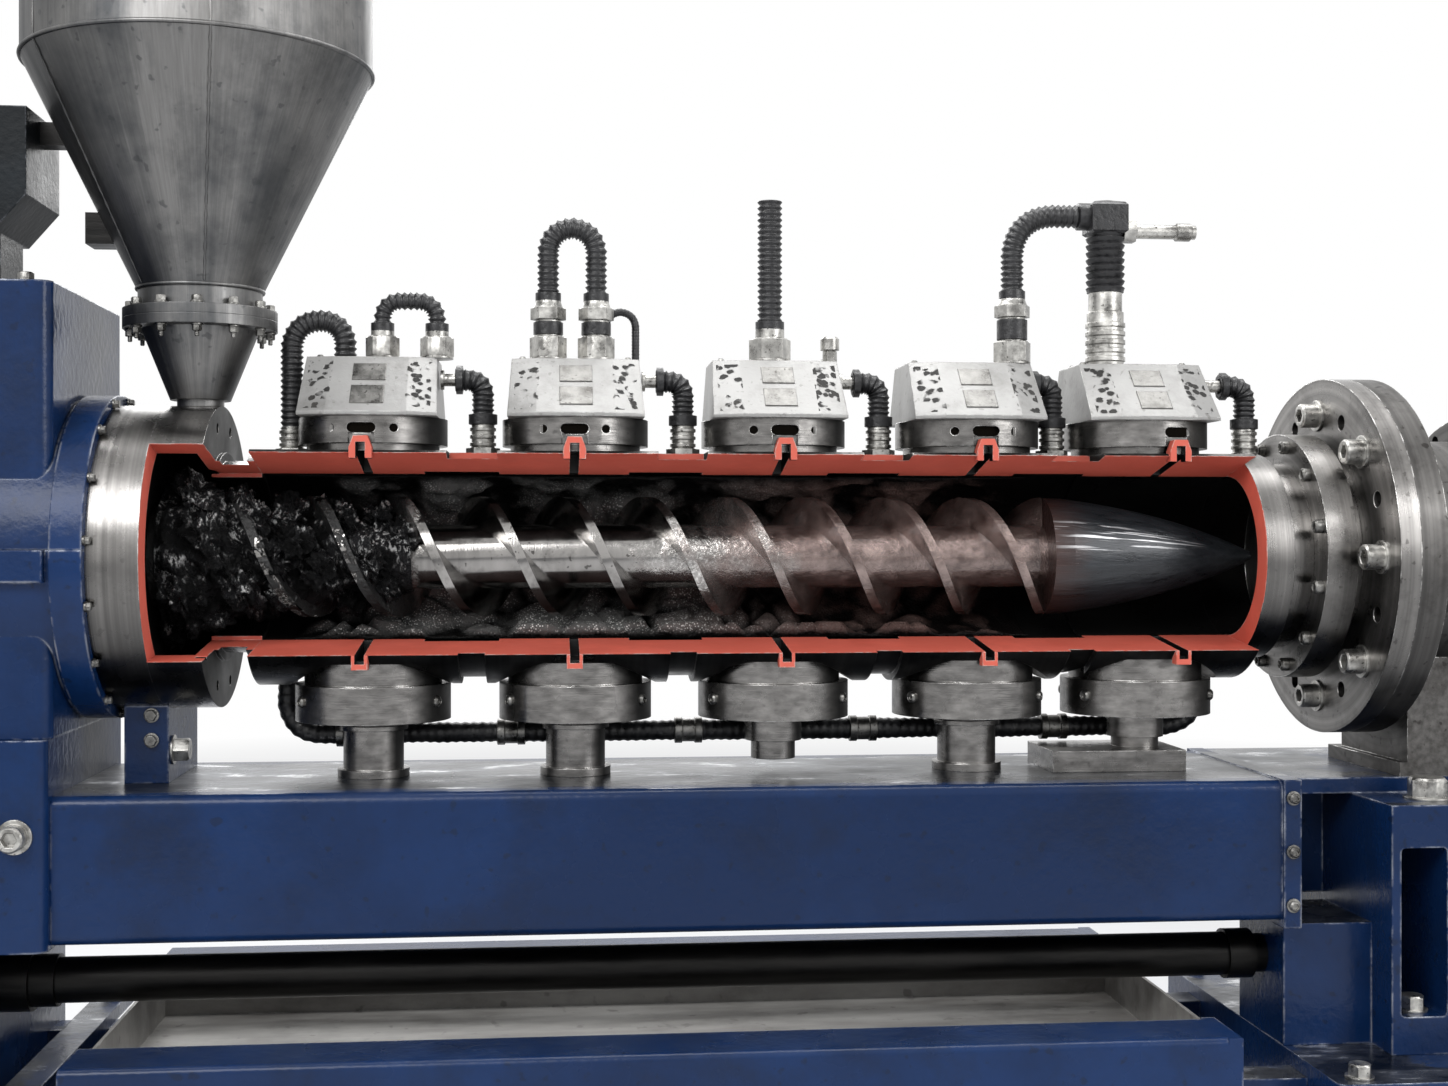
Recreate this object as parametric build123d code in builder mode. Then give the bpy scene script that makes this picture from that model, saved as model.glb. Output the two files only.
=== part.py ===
from build123d import *
import os

# A rubber extruder with its barrel cut away, in millimetres.
# X runs along the screw towards the discharge head, Y away from the viewer, Z up from the floor.
# Every height below is given from the screw axis, which lies AXIS_Z above the floor.

# Lengths along the screw, from the gearbox's end cap to the right end of the base
END_CAP_DEPTH = 12.0
END_COVER_DEPTH = 12.0
LEDGE_REACH = 10.0
GEARBOX_LENGTH = 320.0
NOSE_LENGTH = 42.0
THRUST_RING_WIDTH = 59.0
FEED_RING_WIDTH = 61.0
NECK_LENGTH = 46.0
FIRST_ZONE = 136.0
ZONE_PITCH = 250.0
LAST_PITCH = 222.0
LAST_ZONE = 123.0
COLLAR_WIDTH = 36.0
COLLAR_NECK = 30.0
ADAPTER_WIDTH = 39.0
ADAPTER_NECK = 18.0
HEAD_FLANGE_WIDTH = 26.0
HEAD_PLATE_WIDTH = 34.0
HEAD_LENGTH = 134.0
DIE_FLANGE_WIDTH = 40.0
BASE_REACH = 50.0

# Heights of the frame, from the floor's pads up to the beam
FOOT_HEIGHT = 80.0
RAIL_HEIGHT = 100.0
PAD_HEIGHT = 18.0
TRAY_HEIGHT = 64.0
TRAY_CLEAR = 26.0
TIE_R = 27.0
TIE_CLEAR = 34.0
BEAM_HEIGHT = 170.0
BEAM_DROP = 272.0
SILL_HEIGHT = 175.0

# Widths and lengths of the frame
SILL_WIDTH = 90.0
SILL_GAP = 115.0
SILL_PLATE = 17.0
RAIL_WIDTH = 50.0
SLEEPER_X = -50.0
SLEEPER_WIDTH = 100.0
CROSS_BAR = 42.0
TRAY_SHEET = 4.0
BEAM_HALF = 160.0
BEAM_ROUND = 12.0
END_PLATE = 22.0
LINK_LENGTH = 105.0
PEDESTAL_DROP = 28.0
PEDESTAL_FRONT = 183.0
PEDESTAL_BACK = 240.0
END_RIB = 12.0
RIB = 10.0
POCKET = 58.0
SLIDE_PLATE = 20.0
PLATE_FRONT = 78.0
BASE_HALF = 288.0
LEFT_BASE_HALF = 230.0
PLINTH_HALF = 180.0
TIE_Y = -60.0
FOOT_PAD_R = 48.0
FOOT_STEM_R = 14.0

# The gearbox and the junction box
GEARBOX_HALF = 168.0
GEARBOX_TOP = 315.0
GEARBOX_DROP = 205.0
GEARBOX_ROUND = 16.0
SPLIT_Z = 9.0
LEDGE = 36.0
LEDGE_SIDE = 32.0
NOSE_R = 190.0
NOSE_BACK = 154.0
NOSE_STEP = 6.0
NOSE_LIP = 7.0
END_COVER_R = 120.0
END_COVER_STEP = 40.0
JUNCTION_WIDTH = 160.0
JUNCTION_HEIGHT = 147.0
JUNCTION_HALF = 70.0
JUNCTION_GAP = 12.0
JUNCTION_DROP = 66.0
JUNCTION_STEM = 45.0

# Radii about the screw axis
BORE_R = 103.0
CASING_WALL = 55.0
CASING_SKIN = 25.0
NECK_STEP = 5.0
NECK_WALL = 30.0
CHAMBER_STEP = 49.0
CHAMBER_SIDE = 40.0
CHAMBER_END = 15.0
RING_WALL = 33.0
NECK_GROOVE = 32.0
COLLAR_WALL = 29.0
COLLAR_STEP = 12.0
HEAD_WALL = 47.0
HEAD_FLANGE_LIP = 80.0
HEAD_BOLT_HOLE = 10.0
DIE_FLANGE_LIP = 30.0
DIE_BOLT_HOLE = 8.75
DIE_R = 60.0

# The cutaway window's slopes, the ports and the strap grooves
WINDOW_RISE = 0.22
WINDOW_DROP = 0.12
PORT_SHIFT = [-6.0, -2.0, 4.0, 4.0, 26.0]
PORT_SLOT = 11.0
CHIMNEY_WALL = 3.0
CHIMNEY_FLARE = 5.0
CHIMNEY_HEIGHT = 17.0
CHIMNEY_FRONT = 100.0
CHIMNEY_DEPTH = 16.0
CHIMNEY_ROOF = 8.0
LIP_WALL = 4.0
LIP_FLOOR = 7.0
LIP_FRONT = 110.0
LIP_DROP = 5.5
STRAP_SHIFT = [125.0, 129.0, 131.0, 122.0]
STRAP_WIDTH = 32.0
STRAP_DEPTH = 8.0
STRAP_SEAT = 30.0
RELIEF_LENGTH = 62.0
RELIEF_DEPTH = 3.0

# The screw
SCREW_CLEAR = 28.0
FLIGHT_HEIGHT = 35.0
SCREW_LEAD = 205.0
FLIGHT_LAND = 12.0
FLIGHT_ROOT = 20.0
TIP_LENGTH = 280.0
TIP_PAST = 32.0
JOURNAL_R = 50.0
JOURNAL_SEAT = 14.0
JOURNAL_ROOM = 12.0
RUNNING_GAP = 0.05
CLING_LENGTH = 930.0

# The zones on the casing
DISC_FOOT = 9.0
DISC_R = 91.0
DISC_STEP = 10.0
DISC_HEIGHT = 33.0
DISC_SLOT = 34.0
DISC_SLOT_HEIGHT = 12.0
DISC_SLOT_DEPTH = 11.0
COVER_HALF = 83.0
COVER_SILL = 4.0
COVER_HEIGHT = 72.0
COVER_FRONT = 98.0
COVER_BACK = 88.0
COVER_CORNER = 35.0
COVER_SLOPE = 71.0
BASE_NECK_R = 84.0
BASE_NECK = 28.0
BASE_LIP = 11.0
BASE_HEIGHT = 45.0
SPOT_ROOM = 17.0
POST_R = 37.0
DRAIN_HEIGHT = 31.0
SHELF_HEIGHT = 27.0

# The hopper
HOPPER_R = 208.0
HOPPER_WALL = 4.0
RIM_HEIGHT = 180.0
RIM_FOLD = 8.0
CONE_HEIGHT = 276.0
CONE_NECK = 22.0
CONE_FOOT_R = 74.0
HOPPER_FLANGE = 12.0
HOPPER_FLANGE_R = 92.0
THROAT_R = 22.0
THROAT_WALL = 6.0
THROAT_CONE = 86.0
LATCH_RISE = 56.0
LATCH_HEIGHT = 38.0
LATCH_DEPTH = 13.0
LATCH_HALF = 22.0
STAY_HEIGHT = 28.0

# The hoses and conduits
SIDE_HOSE_R = 13.5
SIDE_HOSE_RISE = 50.0
HOSE_GAP = 52.0
LAST_HOSE_GAP = 62.0
HOSE_BEND = 30.0
FITTING_LIP = 2.5
FITTING_HEIGHT = 38.0
LOWER_HOSE_R = 13.0
LOWER_HOSE_Y = 60.0
LOWER_HOSE_DROP = 25.0
LOWER_HOSE_BEND = 36.0
TALL_HOSE_BEND = 54.0
LOW_GLAND = 34.0
LOW_HOOP = 72.0
FEED_FITTING = 32.0
FEED_HOOP = 48.0
HIGH_GLAND = 74.0
HIGH_HOOP = 164.0
SMALL_HOOP = 66.0
HOOP_R = [11.0, 13.0, 14.0, 5.0]
SHORT_GLAND = 41.0
SHORT_HOSE = 163.0
SHORT_HOSE_R = 16.0
PLUG_HEIGHT = 16.0
PLUG_R = 12.0
TALL_GLAND = 84.0
TALL_HOSE = 108.0
TALL_HOSE_R = 15.0
STACK_R = 24.0
STACK_HEIGHT = 169.0
STACK_HALF = 26.0
STACK_BOX = 43.0
STACK_PIPE = 93.0
STACK_PIPE_R = 9.0

# The radii that follow
NECK_BORE_R = BORE_R - NECK_STEP
FEED_BORE_R = BORE_R + CHAMBER_STEP
RING_R = FEED_BORE_R + RING_WALL
NECK_R = NECK_BORE_R + NECK_WALL
CASING_R = BORE_R + CASING_WALL
CASING_FLAT = BORE_R + CASING_SKIN
COLLAR_R = BORE_R + COLLAR_WALL
HEAD_R = BORE_R + HEAD_WALL
HEAD_FLANGE_R = HEAD_R + HEAD_FLANGE_LIP
HEAD_BOLT_R = HEAD_R + 33
SCREW_FLIGHT_R = BORE_R - SCREW_CLEAR
SCREW_CORE_R = SCREW_FLIGHT_R - FLIGHT_HEIGHT
THROAT_OUT = THROAT_R + THROAT_WALL

# The stations along X that follow, with the machine's middle at 0
CASING_LENGTH = FIRST_ZONE + 3 * ZONE_PITCH + LAST_PITCH + LAST_ZONE
DRIVE_LENGTH = END_CAP_DEPTH + END_COVER_DEPTH + LEDGE_REACH + GEARBOX_LENGTH + NOSE_LENGTH
FEED_LENGTH = THRUST_RING_WIDTH + FEED_RING_WIDTH + NECK_LENGTH
COUPLING_LENGTH = COLLAR_WIDTH + COLLAR_NECK + ADAPTER_WIDTH + ADAPTER_NECK
DISCHARGE_LENGTH = HEAD_FLANGE_WIDTH + HEAD_PLATE_WIDTH + HEAD_LENGTH + DIE_FLANGE_WIDTH + BASE_REACH
MACHINE_LENGTH = DRIVE_LENGTH + FEED_LENGTH + CASING_LENGTH + COUPLING_LENGTH + DISCHARGE_LENGTH
END_CAP_X = -MACHINE_LENGTH / 2
END_COVER_X = END_CAP_X + END_CAP_DEPTH
LEDGE_X = END_COVER_X + END_COVER_DEPTH
GEAR_LEFT_X = LEDGE_X + LEDGE_REACH
GEAR_RIGHT_X = GEAR_LEFT_X + GEARBOX_LENGTH
RING_LEFT_X = GEAR_RIGHT_X + NOSE_LENGTH
CHAMBER_X = RING_LEFT_X + CHAMBER_SIDE
RING_JOINT_X = RING_LEFT_X + THRUST_RING_WIDTH
RING_RIGHT_X = RING_JOINT_X + FEED_RING_WIDTH
CHAMBER_END_X = RING_RIGHT_X - CHAMBER_END
CASING_X = RING_RIGHT_X + NECK_LENGTH
CASING_END_X = CASING_X + CASING_LENGTH
COLLAR_X = CASING_END_X + COLLAR_WIDTH
ADAPTER_X = COLLAR_X + COLLAR_NECK
ADAPTER_NECK_X = ADAPTER_X + ADAPTER_WIDTH
HEAD_FLANGE_X = ADAPTER_NECK_X + ADAPTER_NECK
HEAD_PLATE_X = HEAD_FLANGE_X + HEAD_FLANGE_WIDTH
HEAD_X = HEAD_PLATE_X + HEAD_PLATE_WIDTH
DIE_X = HEAD_X + HEAD_LENGTH
DIE_END_X = DIE_X + DIE_FLANGE_WIDTH
BASE_END_X = DIE_END_X + BASE_REACH
HOPPER_X = (RING_JOINT_X + RING_RIGHT_X) / 2 + 2.5
FLIGHT_LEFT_X = RING_JOINT_X + 5
TIP_END_X = CASING_END_X + TIP_PAST
TIP_START_X = TIP_END_X - TIP_LENGTH
CLING_X = CASING_X + 38

ZONE_X = [CASING_X + FIRST_ZONE + ZONE_PITCH * k for k in range(4)]
ZONE_X.append(ZONE_X[3] + LAST_PITCH)
PORT_X = [x + shift for x, shift in zip(ZONE_X, PORT_SHIFT)]
STRAP_X = [x + shift for x, shift in zip(ZONE_X, STRAP_SHIFT)]
FITTING_R = SIDE_HOSE_R + FITTING_LIP
HOSE_X = [min(x + COVER_HALF + HOSE_GAP, after - DISC_R - FITTING_R - 4) for x, after in zip(ZONE_X, ZONE_X[1:])]
HOSE_X.append(ZONE_X[4] + COVER_HALF + LAST_HOSE_GAP)

# The heights that follow, from the screw axis
BEAM_TOP = -BEAM_DROP
BEAM_BOTTOM = BEAM_TOP - BEAM_HEIGHT
TIE_Z = BEAM_BOTTOM - TIE_CLEAR - TIE_R
TRAY_TOP = TIE_Z - TIE_R - TRAY_CLEAR
RAIL_TOP = TRAY_TOP - TRAY_HEIGHT
PAD_TOP = RAIL_TOP + PAD_HEIGHT
FRAME_BOTTOM = RAIL_TOP - RAIL_HEIGHT
FLOOR = FRAME_BOTTOM - FOOT_HEIGHT
AXIS_Z = -FLOOR
PEDESTAL_TOP = BEAM_TOP - PEDESTAL_DROP
SLIDE_TOP = PEDESTAL_TOP + SLIDE_PLATE
PLINTH_BOTTOM = BEAM_BOTTOM - 3
CHIMNEY_TOP = CASING_FLAT + CHIMNEY_HEIGHT
LIP_BOTTOM = -CASING_FLAT - LIP_DROP
DISC_Z = CASING_FLAT + DISC_FOOT
COVER_Z = DISC_Z + DISC_HEIGHT
COVER_TOP = COVER_Z + COVER_SILL + COVER_HEIGHT
BASE_Z = -CASING_FLAT - BASE_NECK
BASE_BOTTOM = BASE_Z - BASE_HEIGHT
PIPE_TOP = RING_R + 7
HOPPER_JOINT = PIPE_TOP + THROAT_CONE + HOPPER_FLANGE
CONE_FOOT = HOPPER_JOINT + HOPPER_FLANGE + CONE_NECK
HOPPER_SEAM = CONE_FOOT + CONE_HEIGHT
HOPPER_TOP = HOPPER_SEAM + RIM_HEIGHT
HOSE_Z = COVER_Z + SIDE_HOSE_RISE
HOSE_LOW = CASING_FLAT + FITTING_HEIGHT

# How the frame's blocks share the length
LEFT_BASE_END_X = GEAR_RIGHT_X - 90
SILL_LEFT_X = RING_LEFT_X - 2
BEAM_LEFT_X = GEAR_RIGHT_X - 2
BEAM_RIGHT_X = CASING_END_X + 8
BEAM_END_X = BEAM_RIGHT_X + END_PLATE
RIGHT_BASE_X = BEAM_END_X - 8
SILL_RIGHT_X = RIGHT_BASE_X - SILL_GAP
PEDESTAL_X = BEAM_END_X + LINK_LENGTH
PEDESTAL_END_X = PEDESTAL_X + 2 * END_RIB + 3 * POCKET + 2 * RIB
SILL_Y = BASE_HALF + 2 - SILL_WIDTH / 2
TRAY_HALF = SILL_Y - SILL_WIDTH / 2 - 2
RAIL_Y = SILL_Y - SILL_WIDTH / 2 - RAIL_WIDTH / 2

SECTION = Plane(origin=(0, 0, AXIS_Z), x_dir=(0, 1, 0), z_dir=(1, 0, 0))
SIDE = Plane(origin=(0, 0, AXIS_Z), x_dir=(1, 0, 0), z_dir=(0, -1, 0))
SCREW_AXIS = Axis((0, 0, AXIS_Z), (1, 0, 0))
HOPPER_SIDE = Plane(origin=(HOPPER_X, 0, AXIS_Z), x_dir=(1, 0, 0), z_dir=(0, -1, 0))
HOPPER_AXIS = Axis((HOPPER_X, 0, 0), (0, 0, 1))
FAR = MACHINE_LENGTH


def slab(x0, x1, y0, y1, z0, z1, mode=Mode.ADD):
    # A box by its limits.
    with Locations(((x0 + x1) / 2, (y0 + y1) / 2, AXIS_Z + (z0 + z1) / 2)):
        Box(x1 - x0, y1 - y0, z1 - z0, mode=mode)


def drum(x0, x1, r, y=0.0, z=0.0, mode=Mode.ADD):
    # A cylinder along X.
    with Locations(((x0 + x1) / 2, y, AXIS_Z + z)):
        Cylinder(r, x1 - x0, rotation=(0, 90, 0), mode=mode)


def column(x, y, z0, z1, r, mode=Mode.ADD):
    # A cylinder along Z.
    with Locations((x, y, AXIS_Z + (z0 + z1) / 2)):
        Cylinder(r, z1 - z0, mode=mode)


def cone_radius(z):
    # The outer radius of the hopper's cone at a height.
    return CONE_FOOT_R + (HOPPER_R - CONE_FOOT_R) * (z - CONE_FOOT) / CONE_HEIGHT


def save(name, part):
    part.label = name
    export_step(part, "parts/" + name + ".step")


os.makedirs("parts", exist_ok=True)

# The floor frame: two sills with end plates
with BuildPart() as sills:
    for side in (-1, 1):
        slab(SILL_LEFT_X, SILL_RIGHT_X - SILL_PLATE, side * SILL_Y - SILL_WIDTH / 2, side * SILL_Y + SILL_WIDTH / 2,
             FRAME_BOTTOM, FRAME_BOTTOM + SILL_HEIGHT)
    fillet(sills.edges().filter_by(Axis.X), radius=8)
    for side in (-1, 1):
        slab(SILL_RIGHT_X - SILL_PLATE, SILL_RIGHT_X, side * SILL_Y - SILL_WIDTH / 2, side * SILL_Y + SILL_WIDTH / 2,
             FRAME_BOTTOM, FRAME_BOTTOM + SILL_HEIGHT)
save("sills", sills.part)

# The rails between the sills, their middle sleeper, and the flat bar across their left end
with BuildPart() as base_rails:
    for side in (-1, 1):
        slab(LEFT_BASE_END_X, RIGHT_BASE_X, side * RAIL_Y - RAIL_WIDTH / 2, side * RAIL_Y + RAIL_WIDTH / 2,
             FRAME_BOTTOM, RAIL_TOP)
    slab(SLEEPER_X - SLEEPER_WIDTH / 2, SLEEPER_X + SLEEPER_WIDTH / 2, RAIL_WIDTH / 2 - RAIL_Y, RAIL_Y - RAIL_WIDTH / 2, FRAME_BOTTOM, RAIL_TOP)
    slab(LEFT_BASE_END_X + 34, LEFT_BASE_END_X + 34 + CROSS_BAR, -BASE_HALF, BASE_HALF, RAIL_TOP, PAD_TOP)
save("base_rails", base_rails.part)

# The drip tray, open at the top
with BuildPart() as drip_tray:
    slab(SILL_LEFT_X + 6, SILL_RIGHT_X - 3, -TRAY_HALF, TRAY_HALF, RAIL_TOP, TRAY_TOP)
    offset(amount=-TRAY_SHEET, openings=drip_tray.faces().sort_by(Axis.Z)[-1])
save("drip_tray", drip_tray.part)

# The blocks that the drive and the head stand on
with BuildPart() as left_base:
    slab(GEAR_LEFT_X, LEFT_BASE_END_X, -LEFT_BASE_HALF, LEFT_BASE_HALF, FRAME_BOTTOM, PLINTH_BOTTOM - 55)
    slab(GEAR_LEFT_X, LEFT_BASE_END_X, 5 - PLINTH_HALF, PLINTH_HALF - 5, PLINTH_BOTTOM - 55, PLINTH_BOTTOM)
save("left_base", left_base.part)

with BuildPart() as right_base:
    slab(RIGHT_BASE_X, BASE_END_X, -BASE_HALF, BASE_HALF, FRAME_BOTTOM, PAD_TOP)
    fillet(right_base.edges().filter_by(Axis.Z), radius=10)
save("right_base", right_base.part)

# The pedestal of the head: pockets between ribs, links to the beam and the tie bar, slide plate
with BuildPart() as head_pedestal:
    slab(PEDESTAL_X, PEDESTAL_END_X, -PEDESTAL_FRONT, PEDESTAL_BACK, PAD_TOP, PEDESTAL_TOP)
    for rib in range(3):
        left = PEDESTAL_X + END_RIB + rib * (POCKET + RIB)
        slab(left, left + POCKET, -PEDESTAL_FRONT - 7, TIE_Y, PAD_TOP + 46, PEDESTAL_TOP - 52, mode=Mode.SUBTRACT)
    fillet(head_pedestal.edges().filter_by(Axis.Y).filter_by_position(Axis.Z, AXIS_Z + PAD_TOP + 45, AXIS_Z + PEDESTAL_TOP - 51),
           radius=6)
    slab(BEAM_END_X, PEDESTAL_X, 10, BEAM_HALF - 10, BEAM_BOTTOM, PEDESTAL_TOP)
    slab(RIGHT_BASE_X, PEDESTAL_X, TIE_Y - 70, 10, PAD_TOP, BEAM_BOTTOM - 10)
    drum(RIGHT_BASE_X - 15, RIGHT_BASE_X + 65, TIE_R - 7, y=TIE_Y, z=TIE_Z, mode=Mode.SUBTRACT)
    slab(BEAM_END_X + 29, PEDESTAL_END_X + 14, -PLATE_FRONT, PEDESTAL_BACK, PEDESTAL_TOP, SLIDE_TOP)
save("head_pedestal", head_pedestal.part)

# The main beam with its end plate
with BuildPart() as main_beam:
    slab(BEAM_LEFT_X, BEAM_RIGHT_X, -BEAM_HALF, BEAM_HALF, BEAM_BOTTOM, BEAM_TOP)
    fillet(main_beam.edges().filter_by(Axis.X), radius=BEAM_ROUND)
    slab(BEAM_RIGHT_X, BEAM_END_X, -BEAM_HALF - 5, BEAM_HALF + 5, BEAM_BOTTOM - 8, BEAM_TOP + 2)
save("main_beam", main_beam.part)

# The tie bar under the beam, turned down in steps at both ends
with BuildPart() as tie_bar:
    with BuildSketch(Plane(origin=(0, TIE_Y, AXIS_Z + TIE_Z), x_dir=(1, 0, 0), z_dir=(0, -1, 0))):
        with BuildLine():
            Polyline((LEFT_BASE_END_X, 0), (LEFT_BASE_END_X, TIE_R + 9), (LEFT_BASE_END_X + 43, TIE_R + 9),
                     (LEFT_BASE_END_X + 43, TIE_R + 4), (LEFT_BASE_END_X + 72, TIE_R + 4), (LEFT_BASE_END_X + 72, TIE_R),
                     (RIGHT_BASE_X - 51, TIE_R), (RIGHT_BASE_X - 51, TIE_R + 4), (RIGHT_BASE_X - 17, TIE_R + 4),
                     (RIGHT_BASE_X - 17, TIE_R - 3), (RIGHT_BASE_X, TIE_R - 3), (RIGHT_BASE_X, TIE_R - 7),
                     (RIGHT_BASE_X + 65, TIE_R - 7), (RIGHT_BASE_X + 65, 0), close=True)
        make_face()
    revolve(axis=Axis((0, TIE_Y, AXIS_Z + TIE_Z), (1, 0, 0)))
save("tie_bar", tie_bar.part)

# The levelling feet: a pad, a stem and the nut under the frame
FEET = [(GEAR_LEFT_X + 66, LEFT_BASE_HALF - 45), (SLEEPER_X, SILL_Y - 5), (RIGHT_BASE_X + 55, SILL_Y - 10), (BASE_END_X - 55, SILL_Y - 10)]
with BuildPart() as levelling_feet:
    with BuildSketch(SIDE):
        with BuildLine():
            Polyline((0, FLOOR), (FOOT_PAD_R, FLOOR), (FOOT_PAD_R, FLOOR + 10), (FOOT_STEM_R + 16, FLOOR + 22),
                     (FOOT_STEM_R, FLOOR + 26), (FOOT_STEM_R, FRAME_BOTTOM - 18), (FOOT_STEM_R + 12, FRAME_BOTTOM - 18),
                     (FOOT_STEM_R + 12, FRAME_BOTTOM), (0, FRAME_BOTTOM), close=True)
        make_face()
    one_foot = revolve(axis=Axis.Z, mode=Mode.PRIVATE)
    with Locations([(x, side * y) for x, y in FEET for side in (-1, 1)]):
        add(one_foot)
save("levelling_feet", levelling_feet.part)

# The gearbox: plinth, lower housing with its ledge, lid, end cover
with BuildPart() as gearbox_plinth:
    slab(GEAR_LEFT_X, BEAM_LEFT_X, -PLINTH_HALF, PLINTH_HALF, PLINTH_BOTTOM, -GEARBOX_DROP)
    fillet(gearbox_plinth.edges().filter_by(Axis.Z), radius=14)
save("gearbox_plinth", gearbox_plinth.part)

# What the two halves of the gearbox share: the nose round the screw's journal, and the bore through it
with BuildPart() as gearbox_nose:
    drum(GEAR_RIGHT_X - NOSE_BACK, GEAR_RIGHT_X + NOSE_STEP, NOSE_R)
    drum(GEAR_RIGHT_X + NOSE_STEP, RING_LEFT_X, NOSE_R + NOSE_LIP)
with BuildPart() as journal_bore:
    drum(GEAR_RIGHT_X + 1, RING_JOINT_X, JOURNAL_R + JOURNAL_ROOM)

with BuildPart() as gearbox_housing:
    slab(GEAR_LEFT_X, GEAR_RIGHT_X, -GEARBOX_HALF, GEARBOX_HALF, -GEARBOX_DROP, SPLIT_Z - LEDGE)
    fillet(gearbox_housing.edges().filter_by(Axis.Z), radius=GEARBOX_ROUND)
    slab(LEDGE_X, GEAR_RIGHT_X, -GEARBOX_HALF - LEDGE_SIDE, GEARBOX_HALF + LEDGE_SIDE, SPLIT_Z - LEDGE, SPLIT_Z)
    add(gearbox_nose.part)
    slab(-FAR, FAR, -FAR, FAR, SPLIT_Z, FAR, mode=Mode.SUBTRACT)
    add(journal_bore.part, mode=Mode.SUBTRACT)
save("gearbox_housing", gearbox_housing.part)

with BuildPart() as gearbox_lid:
    slab(GEAR_LEFT_X, GEAR_RIGHT_X, -GEARBOX_HALF, GEARBOX_HALF, 0, GEARBOX_TOP)
    fillet(gearbox_lid.edges().filter_by(Axis.Z), radius=GEARBOX_ROUND)
    add(gearbox_nose.part)
    slab(-FAR, FAR, -FAR, FAR, -FAR, SPLIT_Z, mode=Mode.SUBTRACT)
    add(journal_bore.part, mode=Mode.SUBTRACT)
save("gearbox_lid", gearbox_lid.part)

# The cover on the gearbox's end wall, with a step round the ledge
with BuildPart() as gearbox_end_cover:
    drum(END_COVER_X, GEAR_LEFT_X, END_COVER_R)
    drum(END_CAP_X, END_COVER_X, END_COVER_R - END_COVER_STEP)
    slab(LEDGE_X, GEAR_LEFT_X, -FAR, FAR, SPLIT_Z - LEDGE, SPLIT_Z, mode=Mode.SUBTRACT)
save("gearbox_end_cover", gearbox_end_cover.part)

# The junction box on its stem, beside the hopper
JUNCTION_TOP = HOPPER_SEAM - JUNCTION_DROP
JUNCTION_RIGHT_X = HOPPER_X - cone_radius(JUNCTION_TOP) - JUNCTION_GAP
JUNCTION_LEFT_X = JUNCTION_RIGHT_X - JUNCTION_WIDTH
with BuildPart() as junction_box:
    with BuildSketch(SIDE):
        with BuildLine():
            Polyline((JUNCTION_LEFT_X, JUNCTION_TOP - 134), (JUNCTION_LEFT_X, JUNCTION_TOP), (JUNCTION_RIGHT_X, JUNCTION_TOP),
                     (JUNCTION_RIGHT_X, JUNCTION_TOP - 104), (JUNCTION_RIGHT_X - 37, JUNCTION_TOP - JUNCTION_HEIGHT),
                     (JUNCTION_LEFT_X + 37, JUNCTION_TOP - JUNCTION_HEIGHT), close=True)
        make_face()
    extrude(amount=JUNCTION_HALF, both=True)
    slab(JUNCTION_LEFT_X + 37, JUNCTION_RIGHT_X - 37, -JUNCTION_STEM, JUNCTION_STEM, GEARBOX_TOP, JUNCTION_TOP - JUNCTION_HEIGHT)
save("junction_box", junction_box.part)

# The feed end: the thrust ring carries the screw's journal
with BuildPart() as thrust_ring:
    drum(RING_LEFT_X, RING_JOINT_X, RING_R)
    drum(CHAMBER_X, RING_JOINT_X + 1, FEED_BORE_R, mode=Mode.SUBTRACT)
    drum(RING_LEFT_X - 1, RING_JOINT_X, JOURNAL_R + RUNNING_GAP, mode=Mode.SUBTRACT)
save("thrust_ring", thrust_ring.part)

with BuildPart() as feed_support:
    slab(RING_LEFT_X + 12, RING_JOINT_X + 5, -50, 120, BEAM_TOP, 35 - RING_R)
    drum(-FAR, FAR, RING_R, mode=Mode.SUBTRACT)
save("feed_support", feed_support.part)

# What the cutaway window takes off: a wedge that opens towards the viewer
with BuildPart() as window:
    with BuildSketch(SECTION.offset(RING_JOINT_X)):
        with BuildLine():
            Polyline((0, BORE_R), (-2 * RING_R, BORE_R + WINDOW_RISE * 2 * RING_R),
                     (-2 * RING_R, -BORE_R - WINDOW_DROP * 2 * RING_R), (0, -BORE_R), close=True)
        make_face()
    extrude(amount=CASING_END_X - RING_JOINT_X)

# The feed ring and its neck: chamber, groove, ring of bolt holes, throat hole
with BuildPart() as feed_barrel:
    drum(RING_JOINT_X, RING_RIGHT_X, RING_R)
    drum(RING_RIGHT_X, CASING_X, NECK_R)
    with BuildSketch(SIDE):
        with Locations((RING_RIGHT_X + 5 + NECK_GROOVE / 2, NECK_R + 8)):
            Rectangle(NECK_GROOVE, 36)
    revolve(axis=SCREW_AXIS, mode=Mode.SUBTRACT)
    drum(RING_JOINT_X - 1, CHAMBER_END_X, FEED_BORE_R, mode=Mode.SUBTRACT)
    drum(RING_JOINT_X - 1, CASING_X + 1, NECK_BORE_R, mode=Mode.SUBTRACT)
    column(HOPPER_X, 0, FEED_BORE_R - 50, RING_R + 15, THROAT_R, mode=Mode.SUBTRACT)
    with BuildSketch(SECTION.offset(RING_RIGHT_X)):
        with PolarLocations(FEED_BORE_R + 9, 12, start_angle=15):
            Circle(6.5)
    extrude(amount=-12, mode=Mode.SUBTRACT)
    add(window.part, mode=Mode.SUBTRACT)
save("feed_barrel", feed_barrel.part)

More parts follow.
